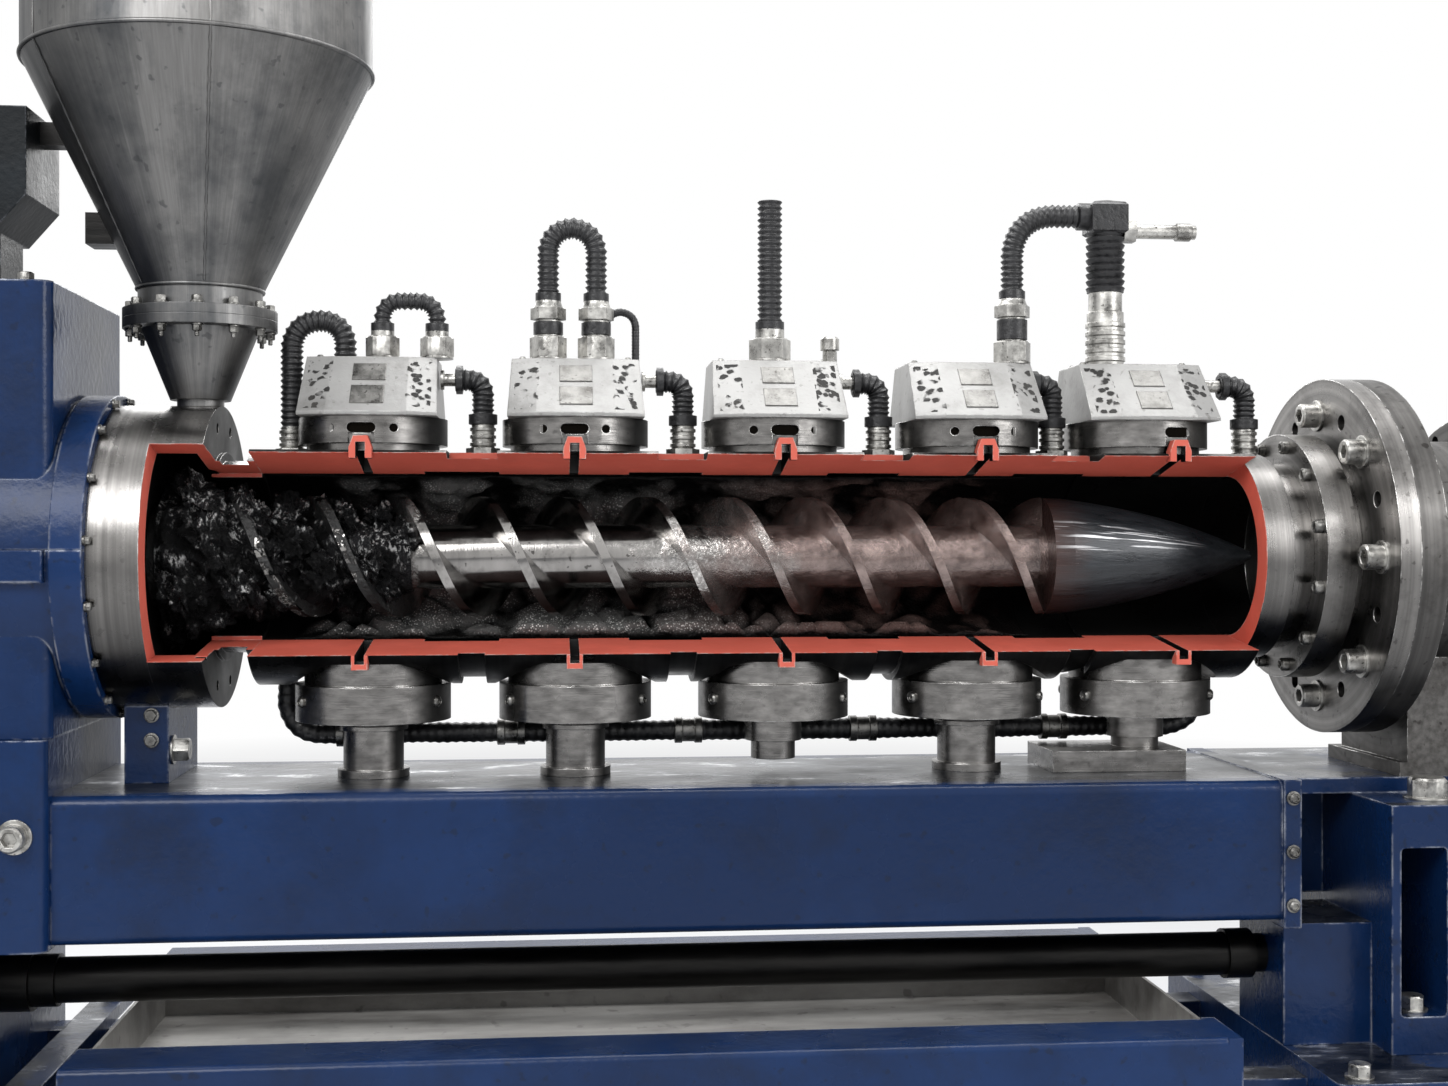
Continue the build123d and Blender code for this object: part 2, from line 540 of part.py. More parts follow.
# The barrel: flat-topped casing, spot faces, strap grooves, stepped bore, window, ports with their lips
PORT_HALF = PORT_SLOT / 2
with BuildPart() as barrel:
    drum(CASING_X, CASING_END_X, CASING_R)
    slab(-FAR, FAR, -FAR, FAR, CASING_FLAT, FAR, mode=Mode.SUBTRACT)
    for x in ZONE_X:
        column(x, 0, -FAR, -CASING_FLAT, BASE_NECK_R + SPOT_ROOM, mode=Mode.SUBTRACT)
    for x in STRAP_X:
        with BuildSketch(SIDE):
            with Locations((x, CASING_R + 1)):
                Rectangle(STRAP_WIDTH, 2 * STRAP_DEPTH + 2)
        revolve(axis=SCREW_AXIS, mode=Mode.SUBTRACT)
        slab(x - STRAP_SEAT, x + STRAP_SEAT, -FAR, -34, CASING_FLAT - 9, FAR, mode=Mode.SUBTRACT)
    drum(-FAR, FAR, BORE_R, mode=Mode.SUBTRACT)
    for x in STRAP_X:
        drum(x - RELIEF_LENGTH, x + STRAP_SEAT, BORE_R + RELIEF_DEPTH, mode=Mode.SUBTRACT)
    for x in PORT_X:
        slab(x - PORT_HALF - LIP_WALL, x + PORT_HALF + LIP_WALL, -LIP_FRONT, CHIMNEY_DEPTH - LIP_FRONT,
             LIP_BOTTOM, -BORE_R)
    add(window.part, mode=Mode.SUBTRACT)
    with BuildSketch(SIDE.offset(CHIMNEY_FRONT - CHIMNEY_DEPTH)):
        for x in PORT_X:
            half = PORT_HALF + CHIMNEY_WALL
            with BuildLine():
                Polyline((x - half - CHIMNEY_FLARE, CASING_FLAT - 10), (x - half - CHIMNEY_FLARE, CASING_FLAT + 3),
                         (x - half, CHIMNEY_TOP), (x + half, CHIMNEY_TOP), (x + half + CHIMNEY_FLARE, CASING_FLAT + 3),
                         (x + half + CHIMNEY_FLARE, CASING_FLAT - 10), close=True)
            make_face()
    extrude(amount=CHIMNEY_DEPTH)
    for x in PORT_X:
        slab(x - PORT_HALF, x + PORT_HALF, -FAR, -8, BORE_R - 13, CHIMNEY_TOP - CHIMNEY_ROOF, mode=Mode.SUBTRACT)
        slab(x - PORT_HALF, x + PORT_HALF, -FAR, -8, 4 - CASING_FLAT, 13 - BORE_R, mode=Mode.SUBTRACT)
        slab(x - PORT_HALF, x + PORT_HALF, -FAR, 12 - LIP_FRONT, LIP_BOTTOM + LIP_FLOOR, -BORE_R, mode=Mode.SUBTRACT)
save("barrel", barrel.part)

# What clings to the bore's back wall and floor, thicker in places
LUMPS = [9, 14, 8, 16, 10, 15, 7, 13, 9, 16, 8, 14, 10, 15, 8, 12, 7, 10, 5]
with BuildPart() as wall_compound:
    with BuildSketch(SIDE):
        with BuildLine():
            lumps = [(CLING_X + CLING_LENGTH * k / len(LUMPS), BORE_R - depth) for k, depth in enumerate(LUMPS)]
            Polyline((CLING_X, BORE_R), *lumps, (CLING_X + CLING_LENGTH, BORE_R - 2),
                     (CLING_X + CLING_LENGTH, BORE_R), close=True)
        make_face()
    revolve(axis=SCREW_AXIS)
    slab(-FAR, FAR, -FAR, 12, -60, FAR, mode=Mode.SUBTRACT)
    slab(-FAR, FAR, -FAR, 1, -FAR, 0, mode=Mode.SUBTRACT)
save("wall_compound", wall_compound.part)

# One flight of the screw, swept along its helix about Z and then laid along X
FLIGHT_LENGTH = TIP_START_X - FLIGHT_LEFT_X
FLIGHT_DEPTH = SCREW_FLIGHT_R - SCREW_CORE_R + 2
with BuildPart() as flight:
    with BuildLine() as helix:
        Helix(SCREW_LEAD, FLIGHT_LENGTH + 80, SCREW_CORE_R - 2)
    with BuildSketch(Plane(origin=(SCREW_CORE_R - 2, 0, 0), x_dir=(1, 0, 0), z_dir=(0, 1, 0))):
        with BuildLine():
            Polyline((0, -FLIGHT_ROOT / 2), (FLIGHT_DEPTH, -FLIGHT_LAND / 2),
                     (FLIGHT_DEPTH, FLIGHT_LAND / 2), (0, FLIGHT_ROOT / 2), close=True)
        make_face()
    sweep(path=helix.line, is_frenet=True)

# The screw: two flights on the core, the journal, the thrust shoulder
SHOULDER_X = CHAMBER_X + 0.5
with BuildPart() as screw:
    with Locations(Location((FLIGHT_LEFT_X - 40, 0, AXIS_Z), (0, 90, 0)), Location((FLIGHT_LEFT_X - 40, 0, AXIS_Z), (180, 90, 0))):
        add(flight.part)
    slab(FLIGHT_LEFT_X, TIP_START_X, -FAR, FAR, -FAR, FAR, mode=Mode.INTERSECT)
    drum(CHAMBER_X, TIP_START_X, SCREW_CORE_R)
    drum(GEAR_RIGHT_X + NOSE_STEP, SHOULDER_X, JOURNAL_R)
    drum(SHOULDER_X, SHOULDER_X + 8.5, JOURNAL_R + JOURNAL_SEAT)
save("screw", screw.part)

# The smooth tip of the screw
with BuildPart() as screw_tip:
    with BuildSketch(SIDE):
        with BuildLine():
            Polyline((TIP_START_X, 0), (TIP_START_X, SCREW_FLIGHT_R), (TIP_START_X + 25, SCREW_FLIGHT_R - 1))
            Spline((TIP_START_X + 25, SCREW_FLIGHT_R - 1), (TIP_START_X + 125, SCREW_FLIGHT_R - 18),
                   (TIP_END_X - 55, SCREW_FLIGHT_R - 47), (TIP_END_X, 5))
            Polyline((TIP_END_X, 5), (TIP_END_X, 0), (TIP_START_X, 0))
        make_face()
    revolve(axis=SCREW_AXIS)
save("screw_tip", screw_tip.part)

# The compound packed round the screw at the feed end
with BuildPart() as feed_compound:
    with BuildSketch(SIDE):
        with BuildLine():
            chamber = [(CHAMBER_X + 9, 64), (CHAMBER_X + 12, FEED_BORE_R - 40), (CHAMBER_X + 24, FEED_BORE_R - 30),
                       (CHAMBER_END_X - 21, FEED_BORE_R - 32), (CHAMBER_END_X - 13, FEED_BORE_R - 44)]
            neck = [(CHAMBER_END_X + along, NECK_BORE_R - under) for along, under in ((-5, 6), (19, 14), (39, 6), (59, 14))]
            bore = [(CASING_X + along, BORE_R - under) for along, under in
                    ((18, 13), (33, 23), (58, 20), (83, 25), (108, 21), (133, 27), (158, 24))]
            Polyline((CHAMBER_X + 9, 0), *chamber, *neck, *bore, (CASING_X + 178, SCREW_CORE_R + 22),
                     (CASING_X + 186, SCREW_CORE_R), (CASING_X + 186, 0), close=True)
        make_face()
    revolve(axis=SCREW_AXIS)
    add(screw.part, mode=Mode.SUBTRACT)
save("feed_compound", feed_compound.part)

# The hopper: throat, cone, rim, and the latch and stay on its side
with BuildPart() as hopper_throat:
    with BuildSketch(HOPPER_SIDE):
        with BuildLine():
            Polyline((THROAT_R, RING_R - 35), (THROAT_OUT, RING_R - 35), (THROAT_OUT, PIPE_TOP), (THROAT_OUT + 8, PIPE_TOP),
                     (HOPPER_FLANGE_R - 22, HOPPER_JOINT - HOPPER_FLANGE), (HOPPER_FLANGE_R, HOPPER_JOINT - HOPPER_FLANGE),
                     (HOPPER_FLANGE_R, HOPPER_JOINT), (HOPPER_FLANGE_R - 28, HOPPER_JOINT),
                     (THROAT_OUT + 3, PIPE_TOP + 6), (THROAT_R, PIPE_TOP - 2), close=True)
        make_face()
    revolve(axis=HOPPER_AXIS)
    drum(-FAR, FAR, RING_R, mode=Mode.SUBTRACT)
save("hopper_throat", hopper_throat.part)

with BuildPart() as hopper_cone:
    with BuildSketch(HOPPER_SIDE):
        with BuildLine():
            Polyline((HOPPER_FLANGE_R - 28, HOPPER_JOINT), (HOPPER_FLANGE_R, HOPPER_JOINT),
                     (HOPPER_FLANGE_R, HOPPER_JOINT + HOPPER_FLANGE), (CONE_FOOT_R, HOPPER_JOINT + HOPPER_FLANGE),
                     (CONE_FOOT_R, CONE_FOOT), (HOPPER_R, HOPPER_SEAM), (HOPPER_R - HOPPER_WALL, HOPPER_SEAM),
                     (CONE_FOOT_R - HOPPER_WALL, CONE_FOOT + 1), close=True)
        make_face()
    revolve(axis=HOPPER_AXIS)
save("hopper_cone", hopper_cone.part)

with BuildPart() as hopper_rim:
    with BuildSketch(HOPPER_SIDE):
        with BuildLine():
            Polyline((HOPPER_R - HOPPER_WALL, HOPPER_SEAM), (HOPPER_R, HOPPER_SEAM), (HOPPER_R, HOPPER_TOP - RIM_FOLD),
                     (HOPPER_R + RIM_FOLD, HOPPER_TOP - RIM_FOLD), (HOPPER_R + RIM_FOLD, HOPPER_TOP),
                     (HOPPER_R - HOPPER_WALL, HOPPER_TOP), close=True)
        make_face()
    revolve(axis=HOPPER_AXIS)
save("hopper_rim", hopper_rim.part)

LATCH_Z = CONE_FOOT + LATCH_RISE
STAY_Z = JUNCTION_TOP - 34
with BuildPart() as hopper_fittings:
    slab(HOPPER_X - cone_radius(LATCH_Z + LATCH_HEIGHT) - LATCH_DEPTH, HOPPER_X - cone_radius(LATCH_Z) + 14,
         -LATCH_HALF, LATCH_HALF, LATCH_Z, LATCH_Z + LATCH_HEIGHT)
    slab(JUNCTION_RIGHT_X, HOPPER_X - cone_radius(STAY_Z) + 20, -14, 14, STAY_Z, STAY_Z + STAY_HEIGHT)
    with BuildSketch(HOPPER_SIDE):
        with BuildLine():
            Polyline((0, HOPPER_JOINT), (CONE_FOOT_R, HOPPER_JOINT), (CONE_FOOT_R, CONE_FOOT), (HOPPER_R, HOPPER_SEAM),
                     (0, HOPPER_SEAM), close=True)
        make_face()
    revolve(axis=HOPPER_AXIS, mode=Mode.SUBTRACT)
save("hopper_fittings", hopper_fittings.part)

# The zones: discs above the casing with a keyhole and two holes in front, covers on them, bases below
with BuildPart() as zone_discs:
    for x in ZONE_X:
        column(x, 0, CASING_FLAT, DISC_Z, DISC_R - DISC_STEP)
        column(x, 0, DISC_Z, COVER_Z, DISC_R)
    for x in PORT_X:
        room = PORT_HALF + CHIMNEY_WALL + CHIMNEY_FLARE + 2
        slab(x - room, x + room, -FAR, CHIMNEY_DEPTH - CHIMNEY_FRONT + 2, CASING_FLAT, CHIMNEY_TOP + 4, mode=Mode.SUBTRACT)
    with BuildSketch(SIDE.offset(DISC_R - DISC_SLOT_DEPTH)):
        with Locations([(x, CHIMNEY_TOP + 4 + DISC_SLOT_HEIGHT / 2) for x in PORT_X]):
            SlotOverall(DISC_SLOT, DISC_SLOT_HEIGHT)
        with Locations([(x + side * (DISC_SLOT + 4), CHIMNEY_TOP + 10) for x in PORT_X[:4] for side in (-1, 1)]):
            Circle(5)
    extrude(amount=DISC_R, mode=Mode.SUBTRACT)
save("zone_discs", zone_discs.part)


def cover_plan(x, half, front, back, corner, rise):
    # The corners of a cover's plan: square at the back, the two front corners cut off.
    return [(x - half, back), (x - half, rise - front), (x - half + corner, -front), (x + half - corner, -front),
            (x + half, rise - front), (x + half, back)]


for number, x in enumerate(ZONE_X):
    with BuildPart() as zone_cover:
        with BuildSketch(Plane.XY.offset(AXIS_Z + COVER_Z)):
            with BuildLine():
                Polyline(*cover_plan(x, COVER_HALF, COVER_FRONT, COVER_BACK, COVER_CORNER, 14), close=True)
            make_face()
        extrude(amount=COVER_SILL)
        with BuildSketch(Plane.XY.offset(AXIS_Z + COVER_Z + COVER_SILL)):
            with BuildLine():
                Polyline(*cover_plan(x, COVER_HALF, COVER_FRONT, COVER_BACK, COVER_CORNER, 14), close=True)
            make_face()
        with BuildSketch(Plane.XY.offset(AXIS_Z + COVER_TOP)):
            with BuildLine():
                Polyline(*cover_plan(x, COVER_HALF - 4, COVER_FRONT - COVER_SLOPE, COVER_BACK - 16, COVER_CORNER - 2, 9),
                         close=True)
            make_face()
        loft(ruled=True)
    save("zone_cover_" + str(number + 1), zone_cover.part)

with BuildPart() as zone_bases:
    for x in ZONE_X:
        column(x, 0, BASE_Z, -CASING_FLAT, BASE_NECK_R)
        column(x, 0, BASE_BOTTOM, BASE_Z, BASE_NECK_R + BASE_LIP)
save("zone_bases", zone_bases.part)

with BuildPart() as support_posts:
    for x in (ZONE_X[0], ZONE_X[1], ZONE_X[3]):
        column(x, 0, BEAM_TOP, BASE_BOTTOM, POST_R)
        column(x, 0, BASE_BOTTOM - 13, BASE_BOTTOM - 7, POST_R + 5)
        column(x, 0, BEAM_TOP, BEAM_TOP + 10, POST_R + 7)
save("support_posts", support_posts.part)

DRAIN_Z = BASE_BOTTOM - DRAIN_HEIGHT
SHELF_TOP = BEAM_TOP + SHELF_HEIGHT
with BuildPart() as zone_drains:
    for x, low, radius in [(ZONE_X[2], DRAIN_Z - 23, 28), (ZONE_X[4], SHELF_TOP, 30)]:
        column(x, 0, DRAIN_Z, BASE_BOTTOM, POST_R - 1)
        column(x, 0, low, DRAIN_Z, radius)
    slab(ZONE_X[4] - 125, ZONE_X[4] + 47, -60, 60, BEAM_TOP, SHELF_TOP)
save("zone_drains", zone_drains.part)

# The discharge end: collar, adapter, flange, head body with the die's mouth
with BuildPart() as end_collar:
    drum(CASING_END_X, COLLAR_X, COLLAR_R)
    drum(COLLAR_X, ADAPTER_X, COLLAR_R - COLLAR_STEP)
    drum(-FAR, FAR, BORE_R, mode=Mode.SUBTRACT)
save("end_collar", end_collar.part)

with BuildPart() as adapter_flange:
    drum(ADAPTER_X, ADAPTER_NECK_X, CASING_R)
    drum(ADAPTER_NECK_X, HEAD_FLANGE_X, COLLAR_R)
    drum(-FAR, FAR, BORE_R, mode=Mode.SUBTRACT)
save("adapter_flange", adapter_flange.part)

with BuildPart() as head_flange:
    with BuildSketch(SECTION.offset(HEAD_FLANGE_X)):
        Circle(HEAD_FLANGE_R)
        Circle(BORE_R, mode=Mode.SUBTRACT)
        with PolarLocations(HEAD_BOLT_R, 8, start_angle=22.5):
            Circle(HEAD_BOLT_HOLE, mode=Mode.SUBTRACT)
    extrude(amount=HEAD_FLANGE_WIDTH)
save("head_flange", head_flange.part)

with BuildPart() as head_body:
    drum(HEAD_PLATE_X, HEAD_X, HEAD_FLANGE_R)
    drum(HEAD_X, DIE_X, HEAD_R)
    with BuildSketch(SECTION.offset(DIE_X)):
        Circle(HEAD_R + DIE_FLANGE_LIP)
        with PolarLocations(HEAD_R + DIE_FLANGE_LIP / 2, 8, start_angle=22.5):
            Circle(DIE_BOLT_HOLE, mode=Mode.SUBTRACT)
    extrude(amount=DIE_FLANGE_WIDTH)
    with BuildSketch(SIDE):
        with BuildLine():
            Polyline((HEAD_PLATE_X - 2, 0), (HEAD_PLATE_X - 2, BORE_R), (HEAD_PLATE_X + 18, BORE_R), (DIE_X - 20, DIE_R),
                     (DIE_END_X + 10, DIE_R), (DIE_END_X + 10, 0), close=True)
        make_face()
    revolve(axis=SCREW_AXIS, mode=Mode.SUBTRACT)
save("head_body", head_body.part)

with BuildPart() as head_saddle:
    slab(HEAD_X + 24, DIE_X - 20, -PLATE_FRONT, 110, SLIDE_TOP, 50 - HEAD_R)
    slab(HEAD_X + 14, DIE_X - 10, -PLATE_FRONT, 130, SLIDE_TOP, SLIDE_TOP + 18)
    drum(-FAR, FAR, HEAD_R, mode=Mode.SUBTRACT)
save("head_saddle", head_saddle.part)

# The stiff conduits on top of the covers, as straight runs joined by tangent arcs:
# where each stands, where it comes down, the height of its start, of its top and of its end, and its radius
STACK_X = ZONE_X[4] - 39
HOOPS = [
    (ZONE_X[0] + 11, ZONE_X[0] + 78, 0, COVER_TOP + LOW_GLAND, COVER_TOP + LOW_HOOP, COVER_TOP + LOW_GLAND, HOOP_R[0]),
    (ZONE_X[0] - 104, ZONE_X[0] - 38, 30, CASING_FLAT + FEED_FITTING, COVER_TOP + FEED_HOOP, COVER_TOP, HOOP_R[1]),
    (ZONE_X[1] - 34, ZONE_X[1] + 26, 0, COVER_TOP + HIGH_GLAND, COVER_TOP + HIGH_HOOP, COVER_TOP + HIGH_GLAND, HOOP_R[2]),
    (ZONE_X[1] + 77, ZONE_X[1] + 39, 34, COVER_TOP, COVER_TOP + SMALL_HOOP, COVER_TOP, HOOP_R[3]),
]
SHORT_X = ZONE_X[2] - 4
PLUG_X = ZONE_X[2] + 73
TALL_X = ZONE_X[3] + 60
TALL_TOP = COVER_TOP + TALL_GLAND + TALL_HOSE
STACK_TOP = COVER_TOP + STACK_HEIGHT
with BuildPart() as top_conduits:
    for start, end, y, low, top, down, radius in HOOPS:
        points = [Vector(start, y, AXIS_Z + low), Vector(start, y, AXIS_Z + top), Vector(end, y, AXIS_Z + top),
                  Vector(end, y, AXIS_Z + down)]
        with BuildLine() as line:
            FilletPolyline(*points, radius=abs(end - start) / 2 - 1)
        with BuildSketch(Plane(origin=points[0], z_dir=(0, 0, 1))):
            Circle(radius)
        sweep(path=line.line)
    points = [Vector(TALL_X, 0, AXIS_Z + COVER_TOP + TALL_GLAND), Vector(TALL_X, 0, AXIS_Z + TALL_TOP),
              Vector(STACK_X - STACK_HALF, 0, AXIS_Z + TALL_TOP)]
    with BuildLine() as line:
        FilletPolyline(*points, radius=TALL_HOSE_BEND)
    with BuildSketch(Plane(origin=points[0], z_dir=(0, 0, 1))):
        Circle(TALL_HOSE_R)
    sweep(path=line.line)
    column(SHORT_X, 0, COVER_TOP + SHORT_GLAND, COVER_TOP + SHORT_GLAND + SHORT_HOSE, SHORT_HOSE_R)
save("top_conduits", top_conduits.part)

# The glands: where each stands, its height, and the width over its flats
GLANDS = [
    (HOOPS[0][0], LOW_GLAND, 36), (HOOPS[0][1], LOW_GLAND, 36), (HOOPS[2][0], HIGH_GLAND, 40), (HOOPS[2][1], HIGH_GLAND, 40),
    (SHORT_X, SHORT_GLAND, 46), (PLUG_X, PLUG_HEIGHT, 16), (TALL_X, TALL_GLAND, 42),
]
with BuildPart() as conduit_glands:
    for x, high, across in GLANDS:
        with BuildSketch(Plane.XY.offset(AXIS_Z + COVER_TOP)):
            with Locations((x, 0)):
                RegularPolygon(across / 2, 6, major_radius=False)
        extrude(amount=high)
    column(PLUG_X, 0, COVER_TOP + PLUG_HEIGHT, COVER_TOP + PLUG_HEIGHT + 18, PLUG_R)
    column(STACK_X, 0, COVER_TOP, STACK_TOP, STACK_R)
    slab(STACK_X - STACK_HALF, STACK_X + STACK_HALF, -28, 28, STACK_TOP, STACK_TOP + STACK_BOX)
    drum(STACK_X + STACK_HALF, STACK_X + STACK_HALF + STACK_PIPE, STACK_PIPE_R, z=STACK_TOP + 5)
save("conduit_glands", conduit_glands.part)

# The side hoses, which bend from the covers down to the barrel
with BuildPart() as side_hoses:
    for x, down in zip(ZONE_X, HOSE_X):
        start = max(x + COVER_HALF, down - HOSE_BEND - 4)
        points = [Vector(start, -4, AXIS_Z + HOSE_Z), Vector(down, -4, AXIS_Z + HOSE_Z), Vector(down, -4, AXIS_Z + HOSE_LOW)]
        with BuildLine() as line:
            FilletPolyline(*points, radius=min(HOSE_BEND, down - start - 4))
        with BuildSketch(Plane(origin=points[0], z_dir=(1, 0, 0))):
            Circle(SIDE_HOSE_R)
        sweep(path=line.line)
save("side_hoses", side_hoses.part)

with BuildPart() as side_fittings:
    for x, down in zip(ZONE_X, HOSE_X):
        if down - HOSE_BEND - 4 > x + COVER_HALF:
            drum(x + COVER_HALF, down - HOSE_BEND - 4, 8, y=-4, z=HOSE_Z)
    for down in HOSE_X[:4]:
        column(down, -4, CASING_FLAT, HOSE_LOW, FITTING_R)
    column(HOSE_X[4], -4, COLLAR_R - COLLAR_STEP, HOSE_LOW, FITTING_R)
    column(HOOPS[1][0], 30, CASING_FLAT, HOOPS[1][3], 15)
    drum(CASING_END_X, COLLAR_X, COLLAR_R, mode=Mode.SUBTRACT)
save("side_fittings", side_fittings.part)

# The conduit under the barrel
LOWER_Z = BASE_BOTTOM - LOWER_HOSE_DROP
with BuildPart() as lower_conduit:
    ends = (CASING_X + 23, CASING_END_X - 21)
    points = [Vector(ends[0], LOWER_HOSE_Y, AXIS_Z - BORE_R), Vector(ends[0], LOWER_HOSE_Y, AXIS_Z + LOWER_Z),
              Vector(ends[1], LOWER_HOSE_Y, AXIS_Z + LOWER_Z), Vector(ends[1], LOWER_HOSE_Y, AXIS_Z - BORE_R)]
    with BuildLine() as line:
        FilletPolyline(*points, radius=LOWER_HOSE_BEND)
    with BuildSketch(Plane(origin=points[0], z_dir=(0, 0, -1))):
        Circle(LOWER_HOSE_R)
    sweep(path=line.line)
    drum(-FAR, FAR, CASING_R, mode=Mode.SUBTRACT)
save("lower_conduit", lower_conduit.part)
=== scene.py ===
"""Looks of a rubber extruder with a cutaway barrel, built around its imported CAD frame, in metres."""

import functools
import math

import bmesh
import bpy
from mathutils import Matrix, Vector, noise


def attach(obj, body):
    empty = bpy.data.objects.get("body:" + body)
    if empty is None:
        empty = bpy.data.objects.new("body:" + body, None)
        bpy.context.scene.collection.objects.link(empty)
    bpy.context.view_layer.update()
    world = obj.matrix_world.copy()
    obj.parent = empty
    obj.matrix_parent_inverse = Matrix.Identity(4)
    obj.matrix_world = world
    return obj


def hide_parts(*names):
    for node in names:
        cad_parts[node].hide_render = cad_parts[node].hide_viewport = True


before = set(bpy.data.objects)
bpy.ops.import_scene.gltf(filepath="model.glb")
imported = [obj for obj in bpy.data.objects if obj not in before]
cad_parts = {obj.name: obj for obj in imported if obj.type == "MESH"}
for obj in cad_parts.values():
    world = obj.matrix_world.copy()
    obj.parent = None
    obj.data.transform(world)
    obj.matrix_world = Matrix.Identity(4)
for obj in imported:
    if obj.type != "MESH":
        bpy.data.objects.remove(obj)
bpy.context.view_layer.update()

bl_info = {
    "name": "Rubber extruder looks",
    "version": (1, 0, 0),
    "blender": (4, 5, 0),
    "location": "3D View > Sidebar > Extruder",
    "description": "Dresses a cutaway rubber extruder with its finishes, hoses, bolts and compound",
    "category": "Add Mesh",
}

MACHINE = "machine"
SCREW = "screw"

# The screw axis above the floor, and what is worn, cut or cast about it
AXIS_Z = 0.8
BORE_R = 0.103
WINDOW_RISE = 0.22
WINDOW_DROP = 0.12
NECK_FACE_X = -0.584
RING_JOINT_X = -0.645
CASING_END_X = 0.693
ZONE_X = (-0.402, -0.152, 0.098, 0.348, 0.570)
PORT_X = (-0.408, -0.154, 0.102, 0.352, 0.596)
HOSE_X = (-0.267, -0.017, 0.233, 0.459, 0.715)
HOPPER_X = -0.612
SCREW_LEAD = 0.205
SCREW_START_X = -0.680
CUT_SKIN = 0.0006

# The rest of the places are in millimetres from the screw axis
COVER_TOP = 246
COVER_FRONT = -98
COVER_HALF = 83
HOSE_Y = -4
HOSE_Z = 220
HOSE_FOOT = 160
HOSE_BEND = 34
CASING_FLAT = 128
LOWER_Z = -226
STACK_X = 531


# Sizes and colours a user would change


class ExtruderSizes(bpy.types.PropertyGroup):
    rib_pitch: bpy.props.FloatProperty(
        name="Hose rib pitch",
        description="Distance from one rib of a hose to the next",
        default=0.0075,
        unit="LENGTH",
    )
    rib_depth: bpy.props.FloatProperty(
        name="Hose rib depth",
        description="How deep the grooves between two ribs are",
        default=0.0028,
        unit="LENGTH",
    )
    screw_head: bpy.props.FloatProperty(
        name="Cap screw head",
        description="Diameter of the cap screw heads on the head flange",
        default=0.031,
        unit="LENGTH",
    )
    frame_bolt: bpy.props.FloatProperty(
        name="Frame bolt",
        description="Width across the flats of the bolts on the frame",
        default=0.024,
        unit="LENGTH",
    )
    lump: bpy.props.FloatProperty(
        name="Rubber lump",
        description="Width of the lumps of raw rubber at the feed end",
        default=0.046,
        unit="LENGTH",
    )
    edge: bpy.props.FloatProperty(
        name="Edge rounding",
        description="Radius that the painted and machined edges seem to have",
        default=0.0025,
        unit="LENGTH",
    )


class ExtruderColours(bpy.types.PropertyGroup):
    enamel: bpy.props.FloatVectorProperty(
        name="Enamel",
        description="Blue enamel of the frame and the gearbox",
        default=(0.006, 0.030, 0.112),
        subtype="COLOR",
    )
    cut_face: bpy.props.FloatVectorProperty(
        name="Cut faces",
        description="Red primer on the faces of the cutaway",
        default=(0.74, 0.135, 0.088),
        subtype="COLOR",
    )
    cover: bpy.props.FloatVectorProperty(
        name="Covers",
        description="Grey paint of the zone covers",
        default=(0.36, 0.355, 0.345),
        subtype="COLOR",
    )
    steel: bpy.props.FloatVectorProperty(
        name="Steel", description="Bare machined steel", default=(0.30, 0.29, 0.28), subtype="COLOR"
    )
    film: bpy.props.FloatVectorProperty(
        name="Melt film",
        description="Softened compound that coats the screw",
        default=(0.052, 0.024, 0.020),
        subtype="COLOR",
    )
    rubber: bpy.props.FloatVectorProperty(
        name="Rubber", description="Raw compound and hoses", default=(0.010, 0.010, 0.011), subtype="COLOR"
    )


class ExtruderStage(bpy.types.PropertyGroup):
    key_power: bpy.props.FloatProperty(
        name="Key lamp", description="Power of the large lamp above the viewer", default=95.0, subtype="POWER"
    )
    floor_colour: bpy.props.FloatVectorProperty(
        name="Floor", description="Colour of the pale floor", default=(0.74, 0.74, 0.74), subtype="COLOR"
    )


def sizes():
    return bpy.context.scene.extruder_sizes


def colours():
    return bpy.context.scene.extruder_colours


def rgba(colour):
    return (colour[0], colour[1], colour[2], 1.0)


def shade(colour, factor):
    return [channel * factor for channel in colour]


# Shader nodes


